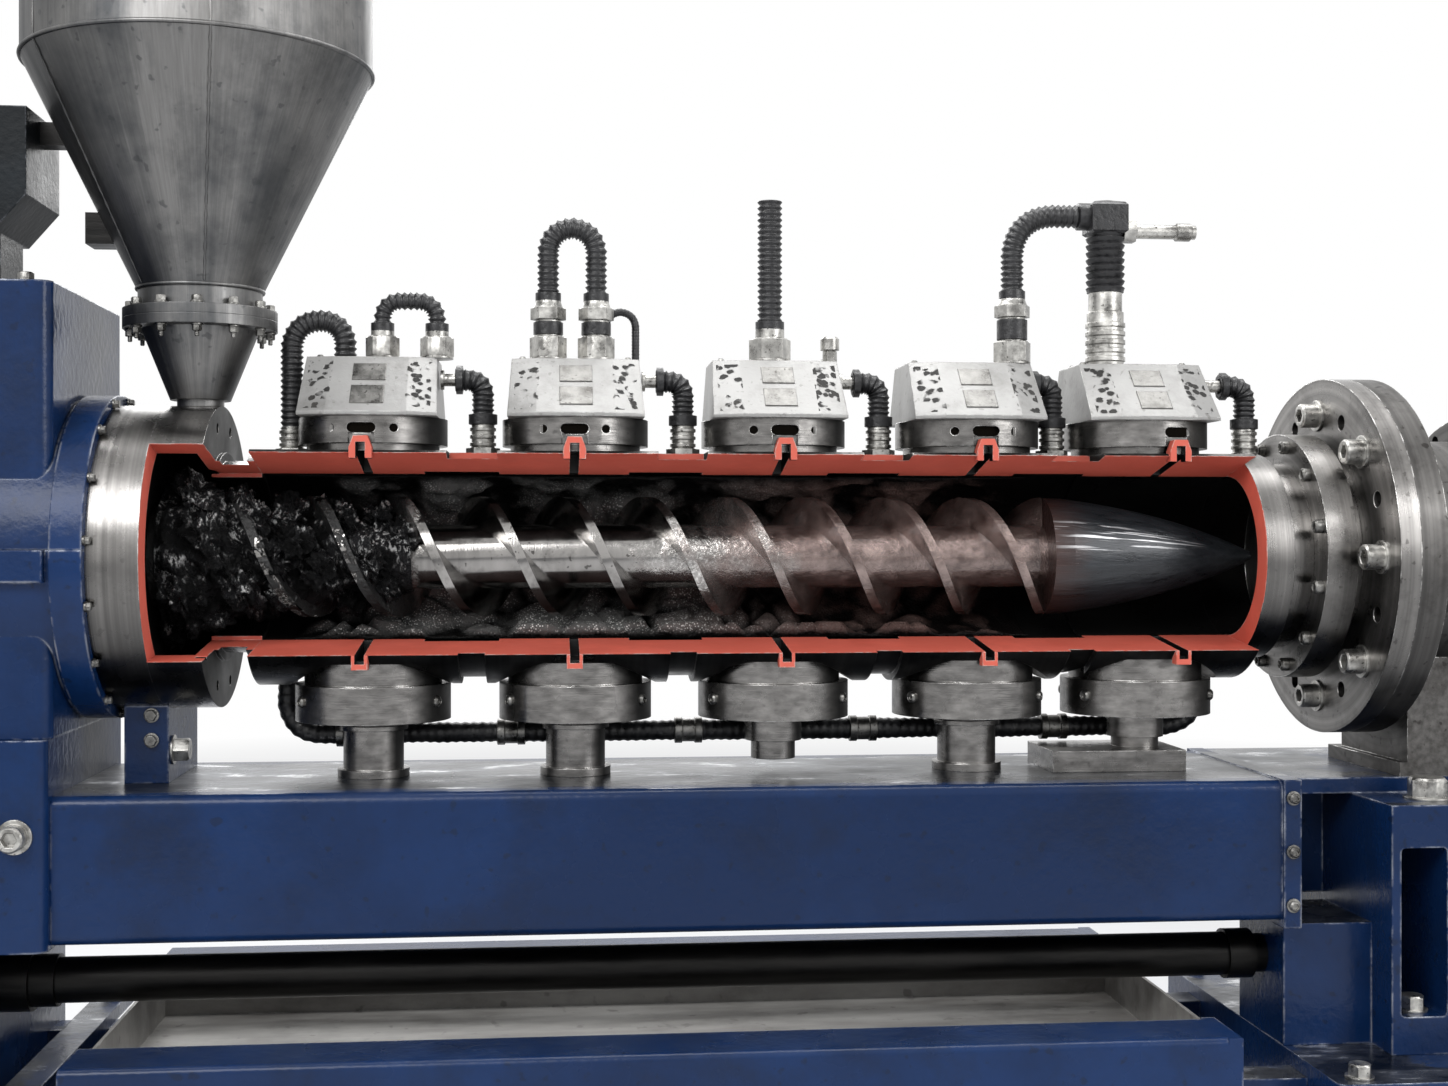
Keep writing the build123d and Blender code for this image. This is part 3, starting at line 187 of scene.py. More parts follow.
class Graph:
    """Lays the nodes of one shader tree and wires them."""

    def __init__(self, tree):
        self.tree = tree

    def feed(self, socket, value):
        if isinstance(value, bpy.types.NodeSocket):
            self.tree.links.new(value, socket)
        else:
            socket.default_value = value

    def node(self, kind, inputs=None, **settings):
        made = self.tree.nodes.new("ShaderNode" + kind)
        for name, value in settings.items():
            setattr(made, name, value)
        for name, value in (inputs or {}).items():
            self.feed(made.inputs[name], value)
        return made

    def maths(self, operation, *values):
        return self.node("Math", dict(enumerate(values)), operation=operation).outputs[0]

    def plus(self, first, second):
        return self.maths("ADD", first, second)

    def minus(self, first, second):
        return self.maths("SUBTRACT", first, second)

    def times(self, first, second):
        return self.maths("MULTIPLY", first, second)

    def below(self, value, limit):
        return self.maths("LESS_THAN", value, limit)

    def beyond(self, value, limit):
        return self.maths("GREATER_THAN", value, limit)

    def near(self, value, target, reach):
        """1 where value lies within reach of target."""
        return self.maths("COMPARE", value, target, reach)

    def all_of(self, *masks):
        return functools.reduce(self.times, masks)

    def any_of(self, *masks):
        return functools.reduce(functools.partial(self.maths, "MAXIMUM"), masks)

    def spread(self, value, low, high, start=0.0, end=1.0):
        """Turns value from low..high into start..end."""
        inputs = {"Value": value, "From Min": low, "From Max": high, "To Min": start, "To Max": end}
        return self.node("MapRange", inputs).outputs[0]

    def mix(self, mask, below, above):
        """One colour over another. Each is a socket or three channels."""
        low, high = (side if isinstance(side, bpy.types.NodeSocket) else rgba(side) for side in (below, above))
        return self.node("Mix", {0: mask, 6: low, 7: high}, data_type="RGBA").outputs[2]

    def place(self):
        """Where a point lies on the part at rest."""
        return self.node("TexCoord").outputs["Object"]

    def stretched(self, stretch):
        """That place, drawn out differently along each axis."""
        return self.node("VectorMath", {0: self.place(), 1: stretch}, operation="MULTIPLY").outputs[0]

    def axes(self, vector):
        return self.node("SeparateXYZ", {"Vector": vector}).outputs

    def vector(self, x, y, z):
        return self.node("CombineXYZ", {0: x, 1: y, 2: z}).outputs[0]

    def facing(self):
        """X, Y and Z of the way a face looks."""
        return self.axes(self.node("NewGeometry").outputs["Normal"])

    def about_axis(self):
        """X, Y and the height above the screw axis, with the distance from that axis."""
        x, y, z = self.axes(self.place())
        height = self.minus(z, AXIS_Z)
        return x, y, height, self.maths("SQRT", self.plus(self.times(y, y), self.times(height, height)))

    def towards(self, front, rise):
        """How squarely a face looks to a lamp in front and above."""
        _, side, up = self.facing()
        return self.maths("MULTIPLY_ADD", side, -front, self.times(up, rise))

    def grain(self, scale, detail=3.0, roughness=0.55, at=None):
        at = self.place() if at is None else at
        inputs = {"Vector": at, "Scale": scale, "Detail": detail, "Roughness": roughness}
        return self.node("TexNoise", inputs).outputs["Fac"]

    def cells(self, scale):
        return self.node("TexVoronoi", {"Vector": self.place(), "Scale": scale}).outputs["Distance"]

    def effect(self, tree, **values):
        made = self.node("Group", node_tree=tree)
        for name, value in values.items():
            self.feed(made.inputs[name], value)
        return made.outputs

    def mask(self, tree, **values):
        return self.effect(tree, **values)["Mask"]

    def patch(self, scale, share, softness):
        return self.mask(patches(), Scale=scale, Share=share, Softness=softness)

    def soft(self, radius):
        return self.effect(soft_edges(), Radius=radius)["Normal"]

    def relief(self, height, distance, normal=None):
        inputs = {"Height": height, "Distance": distance, "Strength": 1.0}
        if normal is not None:
            inputs["Normal"] = normal
        return self.node("Bump", inputs).outputs["Normal"]


def shared_effect(name, inputs, outputs, build):
    """A node group that several finishes use, made once. Inputs are names with their usual values."""
    tree = bpy.data.node_groups.get(name)
    if tree is None:
        tree = bpy.data.node_groups.new(name, "ShaderNodeTree")
        for label, usual in inputs.items():
            socket = tree.interface.new_socket(name=label, in_out="INPUT", socket_type="NodeSocketFloat")
            socket.default_value = usual
        for label in outputs:
            kind = "NodeSocketVector" if label == "Normal" else "NodeSocketFloat"
            tree.interface.new_socket(name=label, in_out="OUTPUT", socket_type=kind)
        source = tree.nodes.new("NodeGroupInput").outputs
        sink = tree.nodes.new("NodeGroupOutput").inputs
        graph = Graph(tree)
        for label, value in zip(outputs, build(graph, source)):
            graph.feed(sink[label], value)
    return tree


def soft_edges():
    """Normals that round the sharp edges a little."""

    def build(graph, given):
        yield graph.node("Bevel", {"Radius": given["Radius"]}, samples=6).outputs["Normal"]

    return shared_effect("Soft edges", {"Radius": 0.002}, ("Normal",), build)


def rubbed_edges():
    """A mask of the edges where paint or polish is rubbed off."""

    def build(graph, given):
        bevel = graph.node("Bevel", {"Radius": given["Radius"]}, samples=6).outputs["Normal"]
        flat = graph.node("NewGeometry").outputs["Normal"]
        turn = graph.node("VectorMath", {0: bevel, 1: flat}, operation="DOT_PRODUCT").outputs["Value"]
        torn = graph.spread(graph.grain(given["Breakup"], 5.0, 0.7), 0.46, 0.60)
        yield graph.times(graph.spread(turn, 0.995, 0.90), torn)

    return shared_effect("Rubbed edges", {"Radius": 0.003, "Breakup": 30.0}, ("Mask",), build)


def patches():
    """Soft-edged patches of one tone in another."""

    def build(graph, given):
        start = graph.minus(1.0, given["Share"])
        yield graph.spread(graph.grain(given["Scale"], 6.0, 0.62), start, graph.plus(start, given["Softness"]))

    return shared_effect("Patches", {"Scale": 8.0, "Share": 0.5, "Softness": 0.1}, ("Mask",), build)


def settled_dust():
    """A mask of the dust and scuffs on faces that look up."""

    def build(graph, given):
        level = graph.spread(graph.facing()[2], 0.55, 0.98)
        spots = graph.spread(graph.grain(given["Scale"], 7.0, 0.7), 0.36, 0.66)
        yield graph.all_of(level, spots, given["Amount"])

    return shared_effect("Settled dust", {"Scale": 14.0, "Amount": 0.5}, ("Mask",), build)


def lathe_marks():
    """Fine rings about the screw axis, as a lathe tool leaves them."""

    def build(graph, given):
        x, _, _, radius = graph.about_axis()
        rings = graph.vector(x, radius, 0.0)
        yield graph.grain(given["Scale"], 2.0, 0.5, rings)
        yield graph.spread(graph.grain(graph.times(given["Scale"], 0.12), at=rings), 0.3, 0.7)

    return shared_effect("Lathe marks", {"Scale": 900.0}, ("Height", "Tone"), build)


def upright_marks():
    """Fine rings about an upright axis, for round pieces that stand on end."""

    def build(graph, given):
        yield graph.grain(given["Scale"], 2.0, 0.5, graph.stretched((0.02, 0.02, 1.0)))
        yield graph.spread(graph.grain(given["Scale"], at=graph.stretched((0.05, 0.05, 0.12))), 0.3, 0.7)

    return shared_effect("Upright marks", {"Scale": 900.0}, ("Height", "Tone"), build)


def oil_stains():
    """Dark oily stains and small black specks."""

    def build(graph, given):
        broad = graph.spread(graph.grain(given["Scale"], 8.0, 0.68), 0.50, 0.68)
        specks = graph.spread(graph.grain(graph.times(given["Scale"], 9.0), 2.0, 0.4), 0.66, 0.72)
        yield graph.times(graph.any_of(broad, specks), given["Amount"])

    return shared_effect("Oil stains", {"Scale": 12.0, "Amount": 0.8}, ("Mask",), build)


def cut_faces():
    """Masks of the cutaway's red faces, of its bolt slots and of the blind holes in the neck."""

    def build(graph, given):
        x, y, height, radius = graph.about_axis()
        along, side, _ = graph.facing()
        rise = graph.maths("MULTIPLY_ADD", y, WINDOW_RISE, graph.minus(height, BORE_R))
        drop = graph.maths("MULTIPLY_ADD", y, -WINDOW_DROP, graph.plus(height, BORE_R))
        middle = (CASING_END_X + RING_JOINT_X) / 2
        opened = graph.near(x, middle, CASING_END_X - middle + CUT_SKIN)
        slopes = graph.any_of(graph.near(rise, 0.0, 0.0007), graph.near(drop, 0.0, 0.0007))
        slopes = graph.all_of(opened, slopes)
        ends = graph.any_of(graph.near(x, RING_JOINT_X, CUT_SKIN), graph.near(x, CASING_END_X, CUT_SKIN))
        ends = graph.all_of(ends, graph.beyond(graph.maths("ABSOLUTE", along), 0.5), graph.below(radius, 0.187))
        found = graph.all_of(graph.below(y, 0.0004), graph.any_of(slopes, ends))
        steps = graph.all_of(opened, graph.below(side, -0.9), graph.below(y, 0.02), graph.below(radius, 0.15))
        chimney = graph.all_of(graph.beyond(height, 0.118), graph.beyond(radius, 0.126))
        chimney = graph.all_of(graph.near(y, -0.092, 0.0084), chimney)
        lip = graph.all_of(graph.near(y, -0.102, 0.0084), graph.below(height, -0.112))
        chimneys = graph.all_of(chimney, graph.any_of(*[graph.near(x, port, 0.0142) for port in PORT_X]))
        lips = graph.all_of(lip, graph.any_of(*[graph.near(x, port, 0.0098) for port in PORT_X]))
        slots = graph.any_of(*[graph.near(x, port, 0.0056) for port in PORT_X])
        slots = graph.all_of(slots, graph.near(height, 0.00525, 0.13195), graph.beyond(radius, 0.088))
        yield graph.times(graph.any_of(found, steps, chimneys, lips), graph.minus(1.0, slots))
        yield slots
        yield graph.all_of(graph.near(x, NECK_FACE_X - 0.0066, 0.006), graph.near(radius, 0.161, 0.0072))

    return shared_effect("Cut faces", {}, ("Mask", "Slots", "Holes"), build)


def facing_in():
    """A mask of the faces that look towards the screw, such as the bore, where the cut finishes paint shade."""

    def build(graph, given):
        _, y, height, radius = graph.about_axis()
        _, side, up = graph.facing()
        inward = graph.plus(graph.times(y, side), graph.times(height, up))
        ratio = graph.maths("DIVIDE", inward, radius)
        yield graph.all_of(graph.below(radius, 0.156), graph.below(ratio, -0.6))

    return shared_effect("Facing in", {}, ("Mask",), build)


def pocket_shade():
    """A mask of the pocket floors in the zone discs, painted near-black as shade: a keyhole over each port, a
    hole on each side.
    """

    def build(graph, given):
        x, y, height, _ = graph.about_axis()
        reach = graph.any_of(*[graph.near(x, zone, 0.0402) for zone in ZONE_X])
        yield graph.all_of(graph.near(y, -0.0795, 0.0018), graph.near(height, 0.1555, 0.0125), reach)

    return shared_effect("Disc pockets", {}, ("Mask",), build)


def lit_side():
    """A mask of the slopes that look up and to the front, where a lamp glints."""

    def build(graph, given):
        yield graph.spread(graph.towards(0.55, 0.83), 0.15, 0.75)

    return shared_effect("Lit side", {}, ("Mask",), build)


# Finishes


class Finish(Graph):
    """One material: its graph, the inputs of its shader, and the colour laid so far."""

    def __init__(self, name):
        self.material = bpy.data.materials.new(name)
        self.material.use_nodes = True
        super().__init__(self.material.node_tree)
        self.shader = self.tree.nodes["Principled BSDF"].inputs
        self.colour = None

    def tones(self, mask, low, high):
        """Starts the colour with two tones."""
        self.colour = self.mix(mask, low, high)

    def cover(self, mask, tone):
        """Lays a tone over the colour where the mask is 1."""
        self.colour = self.mix(mask, self.colour, tone)

    def stained(self, scale, amount, tone):
        self.cover(self.mask(oil_stains(), Scale=scale, Amount=amount), tone)

    def dusted(self, scale, amount, tone):
        self.cover(self.mask(settled_dust(), Scale=scale, Amount=amount), tone)

    def rubbed(self, radius, breakup, tone):
        edges = self.mask(rubbed_edges(), Radius=radius, Breakup=breakup)
        self.cover(edges, tone)
        return edges

    def closed(self, roughness, normal=None, metallic=0.0, **others):
        """Wires the shader and gives the material. The others are shader inputs, with _ for each space."""
        self.feed(self.shader["Base Color"], self.colour)
        self.feed(self.shader["Roughness"], roughness)
        self.feed(self.shader["Metallic"], metallic)
        if normal is not None:
            self.feed(self.shader["Normal"], normal)
        for name, value in others.items():
            self.feed(self.shader[name.replace("_", " ")], value)
        return self.material


def enamel(name, bare_reach=None, bare_share=0.0):
    """Blue enamel, rubbed and dusty. Tops within bare_reach of the middle are worn to the steel."""
    coat = Finish(name)
    blue = colours().enamel
    coat.tones(coat.patch(3.0, 0.55, 0.22), shade(blue, 0.62), blue)
    coat.dusted(9.0, 0.20, (0.08, 0.10, 0.14))
    coat.stained(7.0, 0.55, (0.006, 0.012, 0.030))
    metal = coat.times(coat.rubbed(0.0045, 22.0, (0.33, 0.35, 0.40)), 0.5)
    if bare_reach is not None:
        up = coat.spread(coat.facing()[2], 0.90, 0.99)
        wander = coat.times(coat.grain(11.0, 5.0), 0.06)
        across = coat.plus(coat.maths("ABSOLUTE", coat.axes(coat.place())[1]), wander)
        strip = coat.spread(across, bare_reach + 0.036, bare_reach + 0.030)
        bare = coat.all_of(up, strip, coat.patch(6.0, bare_share, 0.05))
        smear = coat.grain(9.0, 6.0, 0.66, coat.stretched((1.0, 2.2, 1.0)))
        worn = coat.mix(coat.spread(smear, 0.44, 0.62), (0.012, 0.016, 0.024), (0.15, 0.16, 0.18))
        worn = coat.mix(coat.spread(smear, 0.59, 0.66), worn, (0.75, 0.76, 0.78))
        coat.cover(bare, worn)
        metal = coat.any_of(metal, coat.times(bare, 0.75))
    rough = coat.spread(coat.grain(5.0, 6.0), 0.3, 0.7, 0.16, 0.36)
    ripple = coat.relief(coat.grain(90.0), 0.0006, coat.soft(sizes().edge))
    return coat.closed(rough, ripple, metal, Specular_IOR_Level=0.26)


def dark_enamel():
    """Near-black enamel of the junction box."""
    coat = Finish("Dark enamel")
    coat.tones(coat.patch(9.0, 0.5, 0.2), (0.005, 0.007, 0.009), (0.011, 0.015, 0.019))
    coat.dusted(16.0, 0.3, (0.10, 0.10, 0.11))
    coat.rubbed(0.003, 30.0, (0.22, 0.23, 0.25))
    rough = coat.spread(coat.grain(7.0, 6.0), 0.3, 0.7, 0.28, 0.5)
    ripple = coat.relief(coat.grain(110.0), 0.0006, coat.soft(sizes().edge))
    return coat.closed(rough, ripple, Specular_IOR_Level=0.15)


def machined(
    name, tone, roughness, stains, upright=False, cut=False, shaded_pockets=False, underside_shade=0.7, end_shade=0.93
):
    """Turned steel with tool marks and oil, darker on undersides and on end faces that look along +x: painted
    shade. cut adds the red and the painted shade inside the cutaway.
    """
    turned = Finish(name)
    steel = colours().steel
    marks = turned.effect(upright_marks() if upright else lathe_marks(), Scale=900.0)
    turned.tones(marks["Tone"], shade(steel, 0.62 * tone), shade(steel, 1.25 * tone))
    turned.stained(11.0, stains, (0.035, 0.032, 0.030))
    turned.rubbed(0.002, 40.0, (0.80, 0.79, 0.77))
    along, _, up = turned.facing()
    # End faces that look along +x are painted near-black: painted shade.
    shaded_end_face = turned.spread(along, 0.5, 0.8, 0.0, end_shade)
    turned.cover(shaded_end_face, (0.03, 0.03, 0.03))
    # Faces that look down are painted darker: painted shade on undersides.
    turned.cover(turned.spread(up, 0.10, -0.70, 0.0, underside_shade), (0.022, 0.022, 0.023))
    # Pocket floors are painted near-black: painted shade in the recesses.
    if shaded_pockets:
        turned.cover(turned.mask(pocket_shade()), (0.006, 0.005, 0.004))
    rough = turned.spread(turned.grain(16.0, 6.0), 0.32, 0.7, roughness * 0.8, roughness * 1.7)
    rough = turned.plus(rough, turned.times(shaded_end_face, 0.3))
    metal = 1.0
    if cut:
        opened = turned.effect(cut_faces())
        red = opened["Mask"]
        # The bore and the bolt slots are painted near-black: painted shade inside the cutaway.
        shaded_inside = turned.any_of(turned.mask(facing_in()), opened["Slots"])
        # The blind holes in the neck are painted black: painted shade in the holes.
        turned.cover(opened["Holes"], (0.006, 0.006, 0.006))
        turned.cover(shaded_inside, (0.008, 0.0075, 0.0075))
        primer = colours().cut_face
        paint = turned.mix(turned.patch(14.0, 0.5, 0.3), shade(primer, 0.82), primer)
        chipped = turned.mask(rubbed_edges(), Radius=0.0022, Breakup=60.0)
        paint = turned.mix(chipped, paint, (0.62, 0.50, 0.45))
        # Seen in reflections the red faces are painted near-black: painted shade in what the screw mirrors.
        mirrored = turned.node("LightPath").outputs["Is Glossy Ray"]
        turned.cover(red, turned.mix(mirrored, paint, shade(primer, 0.025)))
        rough = turned.plus(rough, turned.times(red, 0.25))
        metal = turned.minus(1.0, turned.any_of(red, turned.times(shaded_inside, 0.6)))
    marked = turned.relief(marks["Height"], 0.00012, turned.soft(sizes().edge * 0.6))
    return turned.closed(rough, marked, metal)


def cover_paint(zone_x):
    """Grey paint of one zone cover, pitted in dark spots along both sides of its sloping front."""
    paint = Finish("Cover paint %d" % (1 + ZONE_X.index(zone_x)))
    x, side, height, _ = paint.about_axis()
    grey = colours().cover
    paint.tones(paint.patch(10.0, 0.5, 0.3), shade(grey, 0.84), grey)
    strip = paint.near(paint.maths("ABSOLUTE", paint.minus(x, zone_x)), 0.0600, 0.0150)
    front = paint.all_of(paint.near(height, 0.209, 0.031), paint.below(side, -0.015))
    ragged = paint.plus(paint.cells(92.0), paint.times(paint.grain(210.0), 0.55))
    thinned = paint.spread(paint.grain(38.0, 1.0), 0.40, 0.46)
    pits = paint.all_of(paint.spread(ragged, 0.74, 0.64), strip, front, thinned)
    paint.cover(pits, (0.014, 0.013, 0.012))
    paint.rubbed(0.002, 45.0, (0.74, 0.73, 0.71))
    paint.stained(13.0, 0.45, (0.10, 0.095, 0.085))
    skin = paint.relief(paint.grain(160.0), 0.0003, paint.soft(sizes().edge))
    pitted = paint.relief(paint.minus(1.0, pits), 0.002, skin)
    return paint.closed(paint.spread(pits, 0.0, 1.0, 0.42, 0.7), pitted, 0.25)


def hopper_sheet():
    """Stainless sheet, brushed down the slope, with dull stains and painted shade that darkens its left side.
    """
    sheet = Finish("Hopper sheet")
    x, side, z = sheet.axes(sheet.place())
    from_axis = sheet.vector(sheet.minus(x, HOPPER_X), side, 0.0)
    around = sheet.node("VectorMath", {0: from_axis}, operation="NORMALIZE").outputs[0]
    fall = sheet.vector(0.0, 0.0, sheet.times(z, 0.35))
    down = sheet.node("VectorMath", {0: around, 1: fall}, operation="ADD").outputs[0]
    streak = sheet.grain(60.0, 4.0, 0.6, down)
    broad = sheet.grain(5.0, 5.0, 0.6, down)
    sheet.tones(sheet.spread(streak, 0.3, 0.7), (0.175, 0.172, 0.168), (0.235, 0.232, 0.228))
    blotches = sheet.times(sheet.grain(7.0, 6.0, 0.62), 0.65)
    dull = sheet.spread(sheet.maths("MULTIPLY_ADD", broad, 0.35, blotches), 0.44, 0.62)
    sheet.cover(dull, (0.085, 0.088, 0.092))
    # The side that looks left is painted darker: painted shade.
    sheet.cover(sheet.spread(sheet.axes(around)[0], -0.25, -0.85, 0.0, 0.6), (0.03, 0.031, 0.033))
    sheet.stained(8.0, 0.55, (0.06, 0.062, 0.065))
    dents = sheet.relief(sheet.grain(6.0, 2.0), 0.004, sheet.soft(0.0015))
    brushed = sheet.relief(streak, 0.00012, dents)
    return sheet.closed(sheet.spread(broad, 0.3, 0.7, 0.30, 0.52), brushed, 1.0, Anisotropic=0.4)


def polished_screw():
    """Polished steel, caked with raw compound at the feed end and filmed with soft compound further on, with
    painted glints near the middle.
    """
    screw = Finish("Polished screw")
    x, _, _, radius = screw.about_axis()
    film = screw.spread(screw.plus(x, screw.times(screw.grain(22.0, 6.0, 0.7), 0.42)), 0.17, 0.33)
    marks = screw.effect(lathe_marks(), Scale=700.0)
    steel = colours().steel
    screw.tones(screw.spread(screw.grain(7.0, 3.0, 0.5), 0.40, 0.60), shade(steel, 0.60), shade(steel, 1.15))
    screw.cover(screw.times(marks["Tone"], 0.3), shade(steel, 1.7))
    screw.stained(18.0, 0.7, (0.03, 0.027, 0.025))
    # Near-white spots near the middle of the screw: painted glints.
    middle = screw.spread(screw.maths("ABSOLUTE", screw.plus(x, -0.03)), 0.12, 0.04)
    glints = screw.spread(screw.grain(240.0, 6.0, 0.8), 0.50, 0.58)
    screw.cover(screw.all_of(middle, 0.7, glints), (0.90, 0.88, 0.85))
    thick = screw.spread(screw.grain(40.0, 5.0, 0.65), 0.35, 0.65)
    screw.cover(film, screw.mix(thick, (0.30, 0.225, 0.205), (0.10, 0.066, 0.058)))
    reach = screw.plus(x, screw.times(screw.grain(30.0, 6.0, 0.7), 0.05))
    worn = screw.spread(screw.grain(55.0, 6.0, 0.72), 0.50, 0.54)
    worn = screw.all_of(worn, screw.near(x, -0.475, 0.06), screw.beyond(radius, 0.0725))
    caked = screw.times(screw.spread(reach, -0.318, -0.336), screw.minus(1.0, worn))
    screw.cover(caked, (0.011, 0.011, 0.011))
    metal = screw.times(screw.minus(1.0, caked), screw.spread(film, 0.0, 1.0, 1.0, 0.72))
    rough = screw.plus(screw.spread(screw.grain(30.0, 6.0), 0.3, 0.7, 0.08, 0.22), screw.times(film, 0.06))
    rough = screw.plus(rough, screw.times(caked, 0.14))
    wet = screw.times(screw.grain(95.0, 5.0, 0.7), screw.plus(film, screw.times(caked, 2.0)))
    skin = screw.relief(wet, 0.0022, screw.relief(marks["Height"], 0.00008))
    return screw.closed(rough, skin, metal, Coat_Weight=film, Coat_Roughness=0.06)


def tip_skin():
    """The dark wet skin of compound on the screw's tip, drawn out along it, with painted highlight streaks on
    the side towards the lamp.
    """
    tip = Finish("Tip skin")
    x, across, height, radius = tip.about_axis()
    drawn = tip.grain(120.0, 5.0, 0.65, tip.stretched((0.08, 1.0, 1.0)))
    tip.tones(tip.spread(drawn, 0.3, 0.7), (0.013, 0.015, 0.018), (0.034, 0.038, 0.044))
    around = tip.maths("DIVIDE", across, radius), tip.maths("DIVIDE", height, radius)
    # Bright streaks where the tip looks towards the lamp: painted highlights.
    glint_streaks = tip.grain(24.0, 2.0, 0.5, tip.vector(tip.times(x, 0.4), *around))
    lit = tip.spread(tip.towards(0.93, 0.37), 0.945, 0.985, 0.0, 0.95)
    tip.cover(tip.times(tip.spread(glint_streaks, 0.55, 0.60), lit), (0.85, 0.86, 0.88))
    tip.cover(tip.spread(tip.plus(x, tip.times(drawn, 0.05)), 0.52, 0.46), colours().film)
    rough = tip.spread(drawn, 0.3, 0.7, 0.24, 0.42)
    return tip.closed(rough, tip.relief(drawn, 0.0016), 0.45, Coat_Weight=0.3, Coat_Roughness=0.25)


def raw_rubber():
    """Wet black compound with a crumpled, foamy skin, and painted glints on its crests that face the lamp."""
    rubber = Finish("Raw rubber")
    skin = rubber.grain(85.0, 8.0, 0.72)
    folds = rubber.grain(26.0, 5.0, 0.6)
    black = colours().rubber
    rubber.tones(rubber.spread(folds, 0.40, 0.66), shade(black, 0.12), shade(black, 1.5))
    # Pale glints on the crests that face the lamp: painted highlights.
    wet = rubber.spread(rubber.grain(150.0, 6.0, 0.75, rubber.stretched((1.0, 1.0, 0.5))), 0.52, 0.59)
    crests = rubber.all_of(wet, rubber.spread(folds, 0.47, 0.58), rubber.mask(lit_side()))
    rubber.cover(crests, (0.70, 0.70, 0.69))
    crumpled = rubber.relief(skin, 0.009, rubber.relief(rubber.cells(520.0), 0.0011))
    return rubber.closed(rubber.spread(skin, 0.3, 0.7, 0.12, 0.36), crumpled, Specular_IOR_Level=0.16)


def wall_skin():
    """Compound on the bore's wall: grey and foamy at the feed end, brown and wet further on, with painted shade
    in the hollows between lumps and painted highlight specks on them.
    """
    wall = Finish("Wall compound")
    x, _, _, radius = wall.about_axis()
    foam = wall.cells(330.0)
    crumb = wall.grain(30.0, 8.0, 0.66)
    crumbled = wall.times(wall.minus(crumb, 0.5), 0.018)
    # Hollows between the lumps are painted near-black: painted shade.
    high = wall.spread(wall.plus(radius, crumbled), 0.0985, 0.0900)
    lit = wall.maths("MULTIPLY_ADD", wall.mask(lit_side()), 0.5, 0.5)
    # Pale specks on the lumps that face the lamp: painted highlights.
    speckle_glints = wall.all_of(wall.spread(foam, 0.42, 0.16), wall.spread(crumb, 0.42, 0.54), high, lit)
    grey = wall.mix(high, (0.003, 0.003, 0.003), (0.110, 0.109, 0.106))
    grey = wall.mix(speckle_glints, grey, (0.80, 0.80, 0.77))
    brown = wall.mix(high, (0.004, 0.003, 0.003), (0.105, 0.068, 0.060))
    brown = wall.mix(wall.times(speckle_glints, 0.35), brown, (0.26, 0.20, 0.18))
    wall.tones(wall.spread(wall.plus(x, wall.times(crumb, 0.25)), 0.05, 0.30), grey, brown)
    foamy = wall.relief(crumb, 0.007, wall.relief(foam, 0.0010))
    return wall.closed(wall.spread(crumb, 0.3, 0.7, 0.6, 0.30), foamy, Specular_IOR_Level=0.10)


def hose_rubber():
    """Black rubber of the hoses, dusty on top."""
    hose = Finish("Hose rubber")
    skin = hose.grain(130.0, 4.0)
    black = colours().rubber
    hose.tones(hose.spread(skin, 0.3, 0.7), shade(black, 0.8), shade(black, 2.2))
    hose.dusted(40.0, 0.5, (0.055, 0.054, 0.053))
    return hose.closed(hose.spread(skin, 0.3, 0.7, 0.26, 0.52), hose.relief(skin, 0.0012))


def zinc(name="Zinc plate", tone=1.0):
    """Zinc-plated fittings and screws, dulled and oily in places."""
    plate = Finish(name)
    cloud = plate.grain(55.0, 5.0, 0.6)
    low, high = shade((0.20, 0.195, 0.185), tone), shade((0.62, 0.61, 0.58), tone)
    plate.tones(plate.spread(cloud, 0.32, 0.66), low, high)
    plate.stained(26.0, 0.75, (0.030, 0.027, 0.024))
    fine = plate.relief(plate.grain(300.0), 0.0002, plate.soft(0.0012))
    return plate.closed(plate.spread(cloud, 0.3, 0.7, 0.22, 0.44), fine, 0.9)


def tray_sheet():
    """Galvanised sheet of the drip tray, smeared and stained."""
    tray = Finish("Tray sheet")
    smear = tray.grain(7.0, 7.0, 0.66, tray.stretched((0.35, 1.6, 1.0)))
    tray.tones(tray.spread(smear, 0.34, 0.66), (0.19, 0.18, 0.168), (0.46, 0.45, 0.43))
    tray.stained(5.0, 0.45, (0.07, 0.066, 0.060))
    tray.rubbed(0.003, 30.0, (0.55, 0.54, 0.52))
    return tray.closed(tray.spread(smear, 0.3, 0.7, 0.34, 0.6), tray.relief(smear, 0.0012), 0.45)


def oily_bar():
    """Blackened bar under the beam, shiny with oil on top."""
    bar = Finish("Oily bar")
    drawn = bar.grain(30.0, 6.0, 0.65, bar.stretched((0.15, 1.0, 1.0)))
    bar.tones(bar.spread(drawn, 0.35, 0.68), (0.004, 0.004, 0.004), (0.020, 0.019, 0.018))
    return bar.closed(bar.spread(drawn, 0.3, 0.7, 0.28, 0.5), bar.relief(drawn, 0.0008), 0.8)


def floor_paint():
    """Pale floor that fades to the white of the background a few metres out."""
    floor = Finish("Pale floor")
    pale = bpy.context.scene.extruder_stage.floor_colour
    floor.tones(floor.spread(floor.grain(1.6, 5.0), 0.3, 0.7), shade(pale, 0.97), shade(pale, 1.03))
    far = floor.node("VectorMath", {0: floor.place()}, operation="LENGTH").outputs["Value"]
    seen = floor.times(floor.spread(far, 2.2, 5.5), floor.node("LightPath").outputs["Is Camera Ray"])
    white = floor.node("Emission", {"Color": (1.0, 1.0, 1.0, 1.0), "Strength": 1.0}).outputs[0]
    nodes = floor.tree.nodes
    blend = floor.node("MixShader", {0: seen, 1: nodes["Principled BSDF"].outputs["BSDF"], 2: white})
    floor.feed(nodes["Material Output"].inputs["Surface"], blend.outputs[0])
    return floor.closed(0.6)


